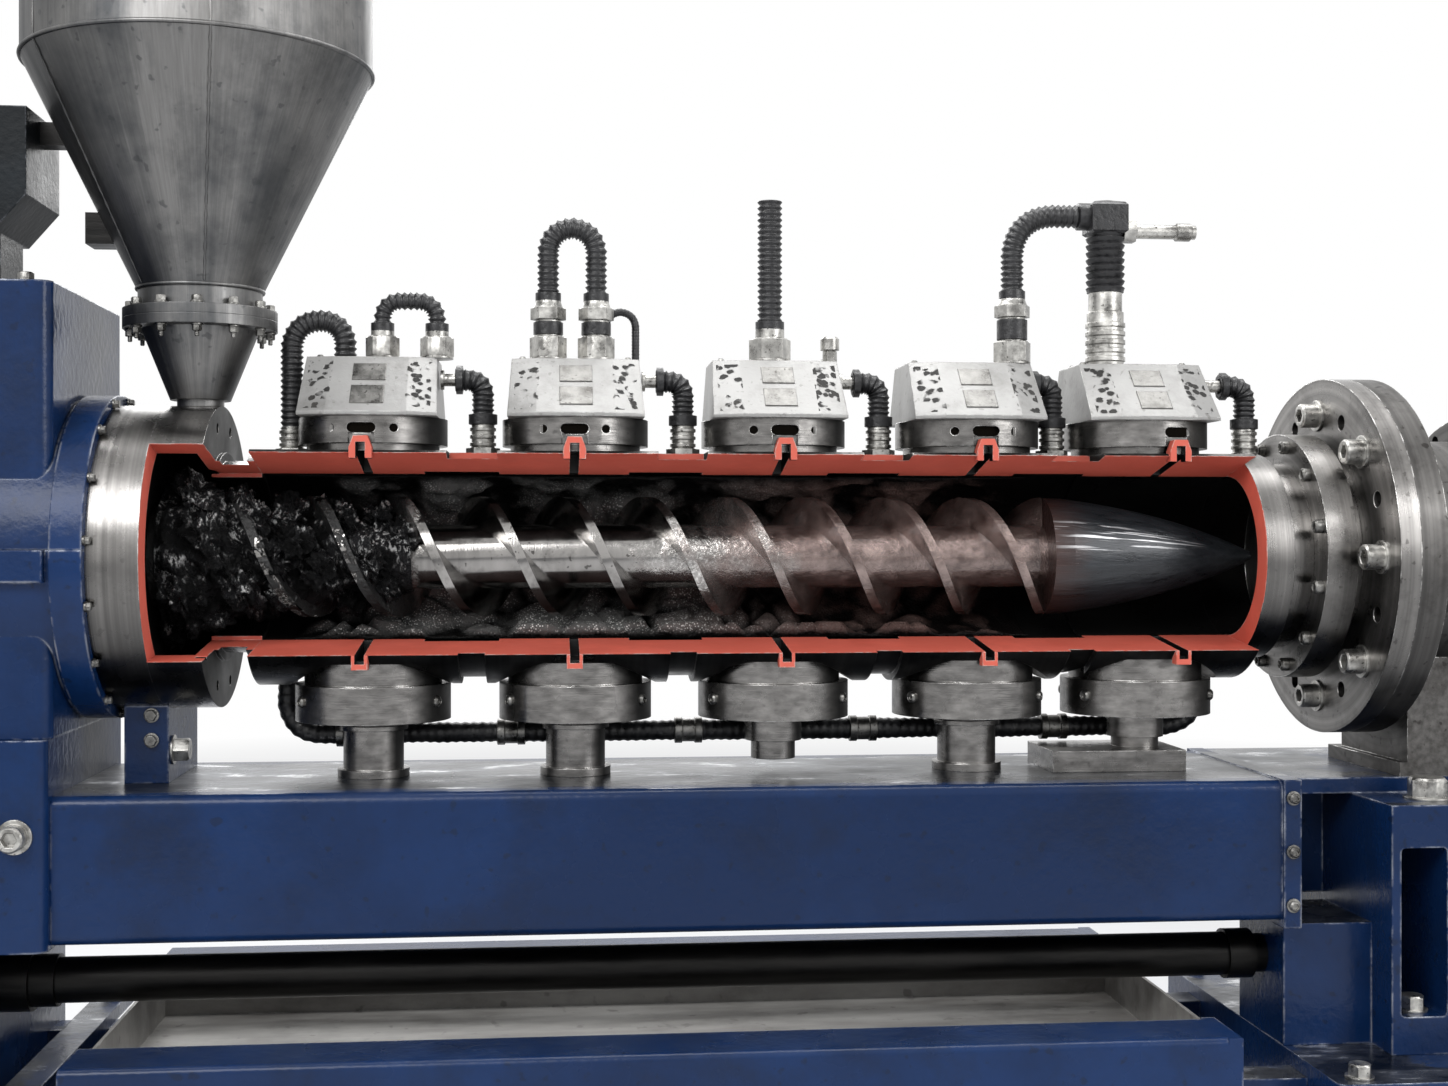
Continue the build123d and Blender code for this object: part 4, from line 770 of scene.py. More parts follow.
MAKERS = {
    "enamel": lambda: enamel("Blue enamel"),
    "beam enamel": lambda: enamel("Beam enamel", 0.125, 0.95),
    "block enamel": lambda: enamel("Block enamel", 0.60, 0.56),
    "dark enamel": dark_enamel,
    "cut casing": lambda: machined("Cut casing", 0.40, 0.30, 0.7, cut=True),
    "cut ring": lambda: machined("Cut ring", 0.82, 0.22, 0.25, cut=True, underside_shade=0.85),
    "turned steel": lambda: machined("Turned steel", 0.85, 0.26, 0.55, end_shade=0.3),
    "dull steel": lambda: machined("Dull steel", 0.42, 0.36, 0.8, end_shade=0.0),
    "upright steel": lambda: machined("Upright steel", 0.95, 0.22, 0.25, upright=True),
    "disc steel": lambda: machined("Disc steel", 0.80, 0.22, 0.35, upright=True, shaded_pockets=True),
    "hopper sheet": hopper_sheet,
    "polished screw": polished_screw,
    "tip skin": tip_skin,
    "raw rubber": raw_rubber,
    "wall skin": wall_skin,
    "hose rubber": hose_rubber,
    "zinc": zinc,
    "dull zinc": lambda: zinc("Dull zinc", 0.5),
    "plate tin": lambda: zinc("Plate tin", 0.36),
    "tray sheet": tray_sheet,
    "oily bar": oily_bar,
    "pale floor": floor_paint,
}


@functools.cache
def finish(name):
    """The material of that name, made when a piece first asks for it."""
    return MAKERS[name]()


# Mesh work


def spot(x, y, z):
    """A point in millimetres from the screw axis, as a point in metres from the floor."""
    return Vector((x * 0.001, y * 0.001, AXIS_Z + z * 0.001))


def side_axes(direction):
    """Two directions square to this one."""
    helper = Vector((0, 0, 1)) if abs(direction.z) < 0.9 else Vector((0, 1, 0))
    first = helper.cross(direction).normalized()
    return first, direction.cross(first).normalized()


class Shape:
    """Points and faces of one piece, gathered part by part."""

    def __init__(self):
        self.points = []
        self.faces = []

    def rings(self, rings, close_ends=True, close_round=True):
        """Joins rings of equal count by quads."""
        start = len(self.points)
        count = len(rings[0])
        for ring in rings:
            self.points.extend(ring)
        around = count if close_round else count - 1
        for r in range(len(rings) - 1):
            for k in range(around):
                a = start + r * count + k
                b = start + r * count + (k + 1) % count
                self.faces.append((a, b, b + count, a + count))
        if close_ends:
            self.faces.append(tuple(start + k for k in reversed(range(count))))
            last = start + (len(rings) - 1) * count
            self.faces.append(tuple(last + k for k in range(count)))
        return self

    def turned(self, base, direction, steps, count=24, turn=0.0):
        """A turned piece. Each step is a place along the axis, a radius and a number of flats, 0 for round."""
        direction = Vector(direction).normalized()
        first, second = side_axes(direction)
        rings = []
        for along, radius, flats in steps:
            ring = []
            for k in range(count):
                angle = turn + 2 * math.pi * k / count
                reach = radius
                if flats:
                    part = 2 * math.pi / flats
                    reach = radius / math.cos((angle - turn) % part - part / 2)
                out = first * math.cos(angle) + second * math.sin(angle)
                ring.append(base + direction * along + out * reach)
            rings.append(ring)
        return self.rings(rings)

    def swept(self, line, radius_at, count=18):
        """A tube along a line of points. radius_at gives its radius at a distance along it."""
        rings = []
        travelled = 0.0
        heading = (line[1] - line[0]).normalized()
        first, _ = side_axes(heading)
        for k, point in enumerate(line):
            ahead = line[min(k + 1, len(line) - 1)]
            behind = line[max(k - 1, 0)]
            if k:
                travelled += (point - behind).length
            heading = (ahead - behind).normalized()
            first = (first - heading * first.dot(heading)).normalized()
            second = heading.cross(first)
            radius = radius_at(travelled)
            rings.append(
                [
                    point + (first * math.cos(t) + second * math.sin(t)) * radius
                    for t in (2 * math.pi * j / count for j in range(count))
                ]
            )
        return self.rings(rings)

    def plate(self, corners, normal, thickness, lip=0.0015):
        """A thin plate on these corners, in order round it, with chamfered edges."""
        normal = Vector(normal).normalized()
        middle = sum(corners, Vector()) / len(corners)
        inset = [c + (middle - c).normalized() * lip for c in corners]
        low = list(corners)
        high = [c + normal * (thickness - lip * 0.6) for c in corners]
        top = [c + normal * thickness for c in inset]
        return self.rings([low, high, top])

    def made(self, name, material, body=MACHINE, slot=None, sharp=40.0):
        mesh = bpy.data.meshes.new(name)
        mesh.from_pydata([tuple(p) for p in self.points], [], self.faces)
        work = bmesh.new()
        work.from_mesh(mesh)
        bmesh.ops.recalc_face_normals(work, faces=work.faces)
        work.to_mesh(mesh)
        work.free()
        mesh.shade_smooth()
        mesh.set_sharp_from_angle(angle=math.radians(sharp))
        mesh.materials.append(material)
        made = bpy.data.objects.new(name, mesh)
        bpy.context.scene.collection.objects.link(made)
        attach(made, body)
        return made


def run_through(corners, bend, spacing):
    """Points at an even spacing along straight runs joined by soft bends."""
    dense = [corners[0]]
    for k in range(1, len(corners) - 1):
        before, corner, after = corners[k - 1], corners[k], corners[k + 1]
        reach = min(bend, (corner - before).length * 0.499, (after - corner).length * 0.499)
        start = corner + (before - corner).normalized() * reach
        end = corner + (after - corner).normalized() * reach
        for step in range(13):
            t = step / 12
            rounding = 2 * t * (1 - t)
            pulled = corner * rounding * 0.82 + (start + end) * rounding * 0.09
            dense.append(start * (1 - t) ** 2 + pulled + end * t**2)
    dense.append(corners[-1])
    line = [dense[0].copy()]
    left = spacing
    for a, b in zip(dense, dense[1:]):
        gap = (b - a).length
        while gap > 1e-9 and left <= gap:
            line.append(a.lerp(b, left / gap))
            left += spacing
        left -= gap
    if (line[-1] - dense[-1]).length > spacing * 0.3:
        line.append(dense[-1].copy())
    return line


def ribbed(radius, pitch, depth):
    """The radius of a corrugated hose at a distance along it."""

    def at(travelled):
        return radius - depth * (0.5 - 0.5 * math.cos(2 * math.pi * travelled / pitch)) ** 0.7

    return at


def cap_screw(shape, base, direction, head=0.031, tall=0.022, washer=True):
    """A cap screw with a chamfered round head and a hexagon socket."""
    r = head / 2
    steps = []
    if washer:
        steps += [(0.0, r * 1.32, 0), (0.0028, r * 1.32, 0), (0.0030, r * 1.28, 0), (0.0030, r, 0)]
    steps += [(0.0, r, 0)] if not washer else []
    low = 0.003 if washer else 0.0
    steps += [
        (low + tall - 0.0022, r, 0),
        (low + tall, r - 0.0022, 0),
        (low + tall, r * 0.56, 6),
        (low + tall - 0.0010, r * 0.50, 6),
        (low + tall * 0.45, r * 0.50, 6),
        (low + tall * 0.42, r * 0.20, 0),
    ]
    return shape.turned(base, direction, steps, count=36)


def hex_bolt(shape, base, direction, flats=0.024, tall=0.014, turn=0.0):
    """A hexagon bolt head on its washer, with the chamfer of a forged head."""
    r = flats / 2
    steps = [
        (0.0, r * 1.38, 0),
        (0.0026, r * 1.38, 0),
        (0.0028, r * 1.30, 0),
        (0.0028, r, 6),
        (0.0028 + tall * 0.86, r, 6),
        (0.0028 + tall, r * 0.94, 0),
        (0.0028 + tall * 1.02, r * 0.55, 0),
    ]
    return shape.turned(base, direction, steps, count=36, turn=turn)


def stud_and_nut(shape, base, direction, flats=0.018, tall=0.012, reach=0.010):
    """A nut on its washer with the threaded end of the stud standing out of it."""
    r = flats / 2
    steps = [
        (0.0, r * 1.35, 0),
        (0.0022, r * 1.35, 0),
        (0.0022, r, 6),
        (0.0022 + tall * 0.9, r, 6),
        (0.0022 + tall, r * 0.9, 0),
        (0.0022 + tall, r * 0.56, 0),
    ]
    along = 0.0022 + tall
    while along < 0.0022 + tall + reach:
        steps += [(along + 0.0006, r * 0.52, 0), (along + 0.0012, r * 0.58, 0), (along + 0.0018, r * 0.52, 0)]
        along += 0.0018
    steps.append((along + 0.001, r * 0.42, 0))
    return shape.turned(base, direction, steps, count=30)


# Where hoses and glands sit, in millimetres from the screw axis

FEED_PROFILE = (
    (-654, 60), (-650, 92), (-640, 104), (-615, 103), (-598, 95), (-582, 84), (-560, 76), (-540, 72),
    (-500, 70), (-450, 67), (-405, 65), (-380, 61), (-362, 53), (-353, 44),
)
TOP_HOSES = (
    ("zone_1_arch", ((-391, 0, 276), (-391, 0, 318), (-324, 0, 318), (-324, 0, 276)), 30, 11.5),
    ("zone_1_loop", ((-506, 30, 160), (-506, 30, 296), (-440, 30, 296), (-440, 30, 240)), 33, 14.5),
    ("zone_2_arch", ((-186, 0, 318), (-186, 0, 412), (-126, 0, 412), (-126, 0, 318)), 29, 14.0),
    ("zone_4_arch", ((408, 0, 326), (408, 0, 438), (508, 0, 438)), 62, 15.0),
    ("zone_3_hose", ((94, 0, 284), (94, 0, 360), (94, 0, 450)), 8, 16.0),
)
SMALL_ARCH = ((-75, 34, 246), (-75, 34, 312), (-113, 34, 312), (-113, 34, 246))
# The x, the top and the width of each gland
GLANDS = ((-391, 280, 36), (-324, 280, 36), (-186, 320, 40), (-126, 320, 40), (94, 287, 46), (408, 330, 42))
LOWER_RUN = ((-515, 60, -120), (-515, 60, LOWER_Z), (672, 60, LOWER_Z), (672, 60, -120))


def profile_at(profile, x):
    """The radius that a profile has at x, between its points."""
    if x <= profile[0][0]:
        return profile[0][1]
    for (x0, r0), (x1, r1) in zip(profile, profile[1:]):
        if x <= x1:
            return r0 + (r1 - r0) * (x - x0) / (x1 - x0)
    return profile[-1][1]


def lump(point, width):
    """How far a rounded lump stands out at this point, 0 to 1."""
    distances, _ = noise.voronoi(point / width)
    return max(0.0, 1.0 - distances[0] ** 2 * 1.35) * min(1.0, (distances[1] - distances[0]) * 3.2)


def feed_room(x):
    """How far from the axis the raw rubber may reach at x metres: chamber, neck, bore."""
    if x < -0.603:
        return 0.124
    return 0.094 if x < -0.535 else 0.099


def chunk_rings(centre, out, size, number, flat, rows):
    """The rings of one torn chunk of rubber about its centre, flattened against the screw."""
    first, second = side_axes(out)
    seed = Vector((number * 3.7, number * 1.9, 4.0))
    rings = []
    along = Vector((1, 0, 0)) - out * out.x
    slant = (along * 0.85 + out.cross(along) * 0.55).normalized()
    for row in range(rows + 1):
        polar = math.pi * min(max(row / rows, 0.01), 0.99)
        ring = []
        for k in range(flat):
            turn = 2 * math.pi * k / flat
            round_it = first * math.cos(turn) + second * math.sin(turn)
            way = out * math.cos(polar) * 0.8 + round_it * math.sin(polar)
            torn = 1.0 - abs(noise.noise(way * 1.6 + seed)) * 1.2
            crease = (1.0 - abs(noise.noise(way * 3.6 + seed))) ** 3 * 0.28
            crumb = 0.16 * noise.fractal(way * 6.5 + seed, 1.0, 2.0, 4)
            point = centre + (way - slant * way.dot(slant) * 0.34) * size * (torn + crease + crumb)
            reach = math.hypot(point.y, point.z)
            allowed = min(feed_room(point.x), feed_room(point.x - 0.004), feed_room(point.x + 0.004))
            if reach > allowed:
                point.y *= allowed / reach
                point.z *= allowed / reach
            ring.append(Vector((max(point.x, -0.6585), point.y, AXIS_Z + point.z)))
        rings.append(ring)
    return rings


def flight_angle(x):
    """The angle of the screw's first flight at x metres, from straight down towards the back."""
    return 2 * math.pi * (x - SCREW_START_X) / SCREW_LEAD


DRESSING = {
    "enamel": (
        "sills", "gearbox_plinth", "gearbox_housing", "gearbox_lid", "gearbox_end_cover", "feed_support",
    ),
    "block enamel": ("base_rails", "left_base", "right_base", "head_pedestal"),
    "beam enamel": ("main_beam",),
    "dark enamel": ("junction_box",),
    "tray sheet": ("drip_tray",),
    "oily bar": ("tie_bar", "hopper_fittings"),
    "dull zinc": ("levelling_feet",),
    "zinc": ("conduit_glands", "side_fittings"),
    "cut ring": ("thrust_ring", "feed_barrel", "end_collar"),
    "cut casing": ("barrel",),
    "wall skin": ("wall_compound",),
    "polished screw": ("screw",),
    "tip skin": ("screw_tip",),
    "raw rubber": ("feed_compound",),
    "hopper sheet": ("hopper_throat", "hopper_cone", "hopper_rim"),
    "disc steel": ("zone_discs",),
    "upright steel": ("zone_bases", "support_posts", "zone_drains"),
    "turned steel": ("adapter_flange", "head_flange"),
    "dull steel": ("head_body", "head_saddle"),
    "hose rubber": ("top_conduits", "side_hoses", "lower_conduit"),
}


class EXTRUDER_OT_finishes(bpy.types.Operator):
    """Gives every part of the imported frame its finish"""

    bl_idname = "extruder.finishes"
    bl_label = "Finishes"

    def execute(self, context):
        wanted = {node: name for name, nodes in DRESSING.items() for node in nodes}
        for node, object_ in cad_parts.items():
            if node.startswith("zone_cover"):
                material = cover_paint(ZONE_X[int(node[-1]) - 1])
            else:
                material = finish(wanted[node])
            object_.data.materials.clear()
            object_.data.materials.append(material)
            object_.data.shade_smooth()
            object_.data.set_sharp_from_angle(angle=math.radians(28))
        return {"FINISHED"}


class EXTRUDER_OT_feed_rubber(bpy.types.Operator):
    """Builds the lumps of raw rubber that the screw drags in at the feed end"""

    bl_idname = "extruder.feed_rubber"
    bl_label = "Feed rubber"

    def execute(self, context):
        width = sizes().lump
        shape = Shape()
        along, around = ((150, 120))
        rings = []
        for i in range(along + 1):
            x = (-654 + 301 * i / along) * 0.001
            share = min(1.0, (i / along) * 30, (1 - i / along) * 14)
            base = profile_at(FEED_PROFILE, x * 1000) * 0.001
            ring = []
            for k in range(around):
                angle = 2 * math.pi * k / around
                out = Vector((0, math.sin(angle), -math.cos(angle)))
                place = Vector((x, 0, 0)) + out * base
                ridge = max(0.0, math.cos(2 * (angle - flight_angle(x)))) ** 4
                reach = (0.010 * ridge - 0.020 + 0.010 * noise.fractal(place * 34, 1.0, 2.0, 5)) * share
                ring.append(Vector((x, 0, AXIS_Z)) + out * min(max(0.0425, base + reach), feed_room(x)))
            rings.append(ring)
        shape.rings(rings)
        flat, rows = ((40, 26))
        for number in range(34):
            pick = noise.cell_vector(Vector((number + 0.5, 2.1, 5.3)))
            share = number / 33
            x = (-0.636 + 0.268 * share ** 1.1) + 0.010 * (pick.x - 0.5)
            angle = number * 2.39996 + pick.y * 0.5
            size = width * (1.05 + 0.55 * pick.z) * (1.15 - 0.50 * share)
            base = profile_at(FEED_PROFILE, x * 1000) * 0.001
            out = Vector((0, math.sin(angle), -math.cos(angle)))
            centre = Vector((x, 0, 0)) + out * (base - size * 0.38)
            shape.rings(chunk_rings(centre, out, size * 0.62, number, flat, rows))
        made = shape.made("feed_rubber", finish("raw rubber"), SCREW, "rubber_compound", sharp=180)
        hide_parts("feed_compound")
        return {"FINISHED"}


class EXTRUDER_OT_wall_rubber(bpy.types.Operator):
    """Builds the compound that clings to the wall of the bore behind the screw"""

    bl_idname = "extruder.wall_rubber"
    bl_label = "Wall compound"

    def execute(self, context):
        along, around = ((420, 112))
        # Without a seed the noise vectors start from the clock
        noise.seed_set(4)
        first = math.asin(0.012 / BORE_R)
        last = math.pi - math.asin(0.001 / BORE_R)
        rings = []
        for i in range(along + 1):
            x = (-499 + 928 * i / along) * 0.001
            fade = min(1.0, i / along * 16, (1 - i / along) * 6)
            ring = []
            for k in range(around + 1):
                angle = first + (last - first) * k / around
                out = Vector((0, math.sin(angle), math.cos(angle)))
                place = Vector((x, 0, 0)) + out * BORE_R
                rim = min(1.0, k / around * 12 + 0.2)
                island = min(1.0, max(0.0, noise.noise(place * 15 + Vector((0.3, 0.1, 0.7))) * 2.6 + 0.45))
                chunk = lump(place + noise.noise_vector(place * 14) * 0.014, 0.050)
                fold = (1.0 - abs(noise.noise(place * 26))) ** 3
                crinkle = noise.fractal(place * 60, 1.0, 2.0, 5)
                low = max(0.0, -math.cos(angle)) ** 2
                lumpy = 0.010 * island * island + 0.009 * chunk * (0.6 + 1.4 * low)
                lumpy += 0.0022 * fold + 0.0020 * crinkle
                thick = min(0.0015 + lumpy * fade * rim, 0.0185)
                ring.append(Vector((x, 0, AXIS_Z)) + out * (BORE_R - 0.0003 - max(0.0008, thick)))
            for k in range(around, -1, -2):
                angle = first + (last - first) * k / around
                out = Vector((0, math.sin(angle), math.cos(angle)))
                ring.append(Vector((x, 0, AXIS_Z)) + out * (BORE_R - 0.0001))
            rings.append(ring)
        shape = Shape().rings(rings)
        made = shape.made("wall_rubber", finish("wall skin"), MACHINE, "rubber_compound", sharp=180)
        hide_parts("wall_compound")
        return {"FINISHED"}


class EXTRUDER_OT_top_hoses(bpy.types.Operator):
    """Builds the corrugated hoses that arch over the zone covers"""

    bl_idname = "extruder.top_hoses"
    bl_label = "Top hoses"

    def execute(self, context):
        pitch, depth = sizes().rib_pitch, sizes().rib_depth
        shape = Shape()
        for _, corners, bend, radius in TOP_HOSES:
            line = run_through([spot(*c) for c in corners], bend * 0.001, pitch / 4)
            shape.swept(line, ribbed(radius * 0.001, pitch, depth))
        line = run_through([spot(*c) for c in SMALL_ARCH], 0.019, 0.0015)
        shape.swept(line, ribbed(0.0052, 0.004, 0.0006), 14)
        made = shape.made("top_hoses", finish("hose rubber"), MACHINE, "black_hose", sharp=180)
        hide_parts("top_conduits")
        return {"FINISHED"}


class EXTRUDER_OT_side_hoses(bpy.types.Operator):
    """Builds the corrugated elbows that bend from the covers down to the barrel"""

    bl_idname = "extruder.side_hoses"
    bl_label = "Side hoses"

    def execute(self, context):
        pitch, depth = sizes().rib_pitch * 0.85, sizes().rib_depth * 0.8
        shape = Shape()
        for zone, down in zip(ZONE_X, HOSE_X):
            foot_x = down * 1000
            start = spot(max(zone * 1000 + COVER_HALF, foot_x - HOSE_BEND), HOSE_Y, HOSE_Z)
            corners = [start, spot(foot_x, HOSE_Y, HOSE_Z), spot(foot_x, HOSE_Y, HOSE_FOOT)]
            line = run_through(corners, 0.030, pitch / 4)
            shape.swept(line, ribbed(0.0142, pitch, depth))
            nut = [(0, 0.010, 0), (0.001, 0.0165, 8), (0.009, 0.0165, 8), (0.010, 0.013, 0)]
            cuff = [(0, 0.015, 0), (0.001, 0.0178, 0), (0.013, 0.0178, 0), (0.014, 0.014, 0)]
            shape.turned(start, (1, 0, 0), nut)
            shape.turned(spot(foot_x, HOSE_Y, HOSE_FOOT + 4), (0, 0, 1), cuff)
        made = shape.made("side_elbows", finish("hose rubber"), MACHINE, "black_hose", sharp=60)
        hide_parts("side_hoses")
        return {"FINISHED"}


class EXTRUDER_OT_lower_hose(bpy.types.Operator):
    """Builds the wrapped hose under the barrel with its metal joints"""

    bl_idname = "extruder.lower_hose"
    bl_label = "Lower hose"

    def execute(self, context):
        def wrapped(travelled):
            wander = noise.noise(Vector((travelled * 31, 0.2, 0.7)))
            return 0.0128 + 0.0012 * wander + 0.0006 * math.sin(2 * math.pi * travelled / 0.011)

        line = run_through([spot(*c) for c in LOWER_RUN], 0.040, 0.0025)
        shape = Shape().swept(line, wrapped, 20)
        made = shape.made("lower_hose", finish("hose rubber"), MACHINE, "black_hose", sharp=180)
        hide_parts("lower_conduit")
        joints = Shape()
        steps = [
            (0, 0.013, 0), (0.001, 0.0168, 0), (0.010, 0.0168, 0), (0.011, 0.0150, 0),
            (0.026, 0.0150, 0), (0.027, 0.0168, 0), (0.036, 0.0168, 0), (0.037, 0.013, 0),
        ]
        for x in (-455, -252, -24, 205, 460):
            joints.turned(spot(x, 60, LOWER_Z), (1, 0, 0), steps)
        joints.made("lower_joints", finish("dull zinc"), MACHINE, "zinc_steel")
        return {"FINISHED"}


class EXTRUDER_OT_glands(bpy.types.Operator):
    """Builds the glands on the covers: nuts, cuffs and the branch stack of the last zone"""

    bl_idname = "extruder.glands"
    bl_label = "Glands"

    def execute(self, context):
        metal, cuffs = Shape(), Shape()
        up = (0, 0, 1)
        for x, high, across in GLANDS:
            r = across * 0.0005
            tall = (high - COVER_TOP) * 0.001
            nut = min(0.030, tall * 0.82)
            steps = [(0.0, r * 1.12, 0), (0.003, r * 1.12, 0), (0.0032, r * 0.93, 0), (0.0034, r, 6)]
            steps += [(nut - 0.002, r, 6), (nut, r * 0.95, 0), (nut, r * 0.80, 0), (tall, r * 0.80, 0)]
            metal.turned(spot(x, 0, COVER_TOP), up, steps, count=36)
            if tall > 0.05:
                steps = [(0, r * 0.8, 0), (0.0005, r * 0.96, 6), (0.015, r * 0.96, 6)]
                steps += [(0.017, r * 0.9, 0), (0.024, r * 0.78, 0)]
                metal.turned(spot(x, 0, high - 24), up, steps, count=36)
                steps = [(0, r * 0.78, 0), (0.001, r * 0.93, 0)]
                steps += [(tall - 0.058, r * 0.93, 0), (tall - 0.057, r * 0.78, 0)]
                cuffs.turned(spot(x, 0, COVER_TOP + 31), up, steps)
            steps = [(0, r * 0.6, 0), (0.001, r * 0.80, 0), (0.012, r * 0.80, 0), (0.013, r * 0.6, 0)]
            cuffs.turned(spot(x, 0, high - 2), up, steps)
        steps = [
            (0, 0.008, 6), (0.014, 0.008, 6), (0.016, 0.0075, 0),
            (0.016, 0.012, 0), (0.030, 0.012, 0), (0.033, 0.009, 0),
        ]
        metal.turned(spot(171, 0, COVER_TOP), up, steps, count=36)
        steps = [(0.0, 0.0235, 0)]
        for k in range(5):
            low = 0.004 + k * 0.011
            steps += [(low, 0.0235, 0), (low + 0.001, 0.0255, 0)]
            steps += [(low + 0.006, 0.0255, 0), (low + 0.007, 0.0235, 0)]
        steps += [(0.068, 0.0235, 0), (0.069, 0.0215, 0), (0.094, 0.0215, 0)]
        metal.turned(spot(STACK_X, 0, COVER_TOP), up, steps, count=32)
        steps = [(0.092, 0.019, 0), (0.094, 0.0235, 0)]
        for k in range(8):
            low = 0.096 + k * 0.0092
            steps += [(low, 0.0235, 0), (low + 0.0035, 0.0250, 0), (low + 0.0065, 0.0212, 0)]
        steps += [(0.170, 0.0225, 0), (0.172, 0.018, 0)]
        cuffs.turned(spot(STACK_X, 0, COVER_TOP), up, steps, count=32)
        block = [(0, 0.020, 4), (0.003, 0.0235, 4), (0.036, 0.0235, 4), (0.040, 0.0200, 4), (0.043, 0.012, 0)]
        cuffs.turned(spot(STACK_X, 0, 415), up, block, count=32, turn=math.pi / 4)
        steps = [
            (0, 0.014, 6), (0.016, 0.014, 6), (0.018, 0.009, 0), (0.070, 0.009, 0),
            (0.072, 0.0115, 0), (0.090, 0.0115, 0), (0.092, 0.009, 0), (0.097, 0.009, 0),
        ]
        metal.turned(spot(STACK_X + 22, 0, 420), (1, 0, 0), steps, count=36)
        steps = [(-0.012, 0.014, 0), (-0.011, 0.0175, 0), (0.006, 0.0175, 0), (0.008, 0.014, 0)]
        cuffs.turned(spot(505, 0, 438), (1, 0, 0), steps)
        made = metal.made("gland_nuts", finish("zinc"), MACHINE, "zinc_steel", sharp=30)
        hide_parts("conduit_glands")
        cuffs.made("gland_cuffs", finish("hose rubber"), MACHINE, "black_hose", sharp=40)
        return {"FINISHED"}


class EXTRUDER_OT_side_fittings(bpy.types.Operator):
    """Builds the ringed metal fittings under the hose elbows and the pipes from the covers"""

    bl_idname = "extruder.side_fittings"
    bl_label = "Side fittings"

    def execute(self, context):
        shape = Shape()
        up = (0, 0, 1)

        def ringed(x, y, low, high, r):
            tall = (high - low) * 0.001
            steps = [(0.0, r * 1.18, 6), (0.007, r * 1.18, 6), (0.0075, r, 0)]
            count = max(2, int((tall - 0.010) / 0.008))
            for k in range(count):
                start = 0.009 + k * (tall - 0.010) / count
                steps += [(start, r * 0.92, 0), (start + 0.001, r * 1.05, 0)]
                steps += [(start + 0.0045, r * 1.05, 0), (start + 0.0055, r * 0.92, 0)]
            steps.append((tall, r * 0.9, 0))
            shape.turned(spot(x, y, low), up, steps, count=30)

        for x in HOSE_X[:4]:
            ringed(x * 1000, HOSE_Y, CASING_FLAT, 166, 0.0155)
        ringed(HOSE_X[4] * 1000, HOSE_Y, 120, 166, 0.0155)
        ringed(-506, 30, CASING_FLAT, 162, 0.0150)
        for zone, down in zip(ZONE_X, HOSE_X):
            start, end = zone * 1000 + COVER_HALF, down * 1000 - HOSE_BEND
            if end > start:
                reach = (end - start) * 0.001
                steps = [(0, 0.0125, 0), (0.004, 0.0125, 0), (0.0045, 0.008, 0), (reach, 0.008, 0)]
                shape.turned(spot(start, HOSE_Y, HOSE_Z), (1, 0, 0), steps)
        made = shape.made("ringed_fittings", finish("zinc"), MACHINE, "zinc_steel", sharp=30)
        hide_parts("side_fittings")
        return {"FINISHED"}


class EXTRUDER_OT_head_screws(bpy.types.Operator):
    """Builds the cap screws of the head flange and the nuts behind it"""

    bl_idname = "extruder.head_screws"
    bl_label = "Head screws"

    def execute(self, context):
        screws, nuts = Shape(), Shape()
        for k in range(8):
            angle = math.radians(45 * k)
            y, z = 183 * math.sin(angle), 183 * math.cos(angle)
            cap_screw(screws, spot(816, y, z), (-1, 0, 0), sizes().screw_head, 0.022)
            cap_screw(nuts, spot(876, y, z), (1, 0, 0), sizes().screw_head * 0.92, 0.018)
        for k in range(12):
            angle = math.radians(30 * k + 15)
            y, z = 144 * math.sin(angle), 144 * math.cos(angle)
            cap_screw(nuts, spot(759, y, z), (-1, 0, 0), 0.017, 0.010, washer=False)
        screws.made("flange_screws", finish("zinc"), MACHINE, "zinc_steel", sharp=30)
        nuts.made("head_back_screws", finish("dull zinc"), MACHINE, "zinc_steel", sharp=30)
        return {"FINISHED"}


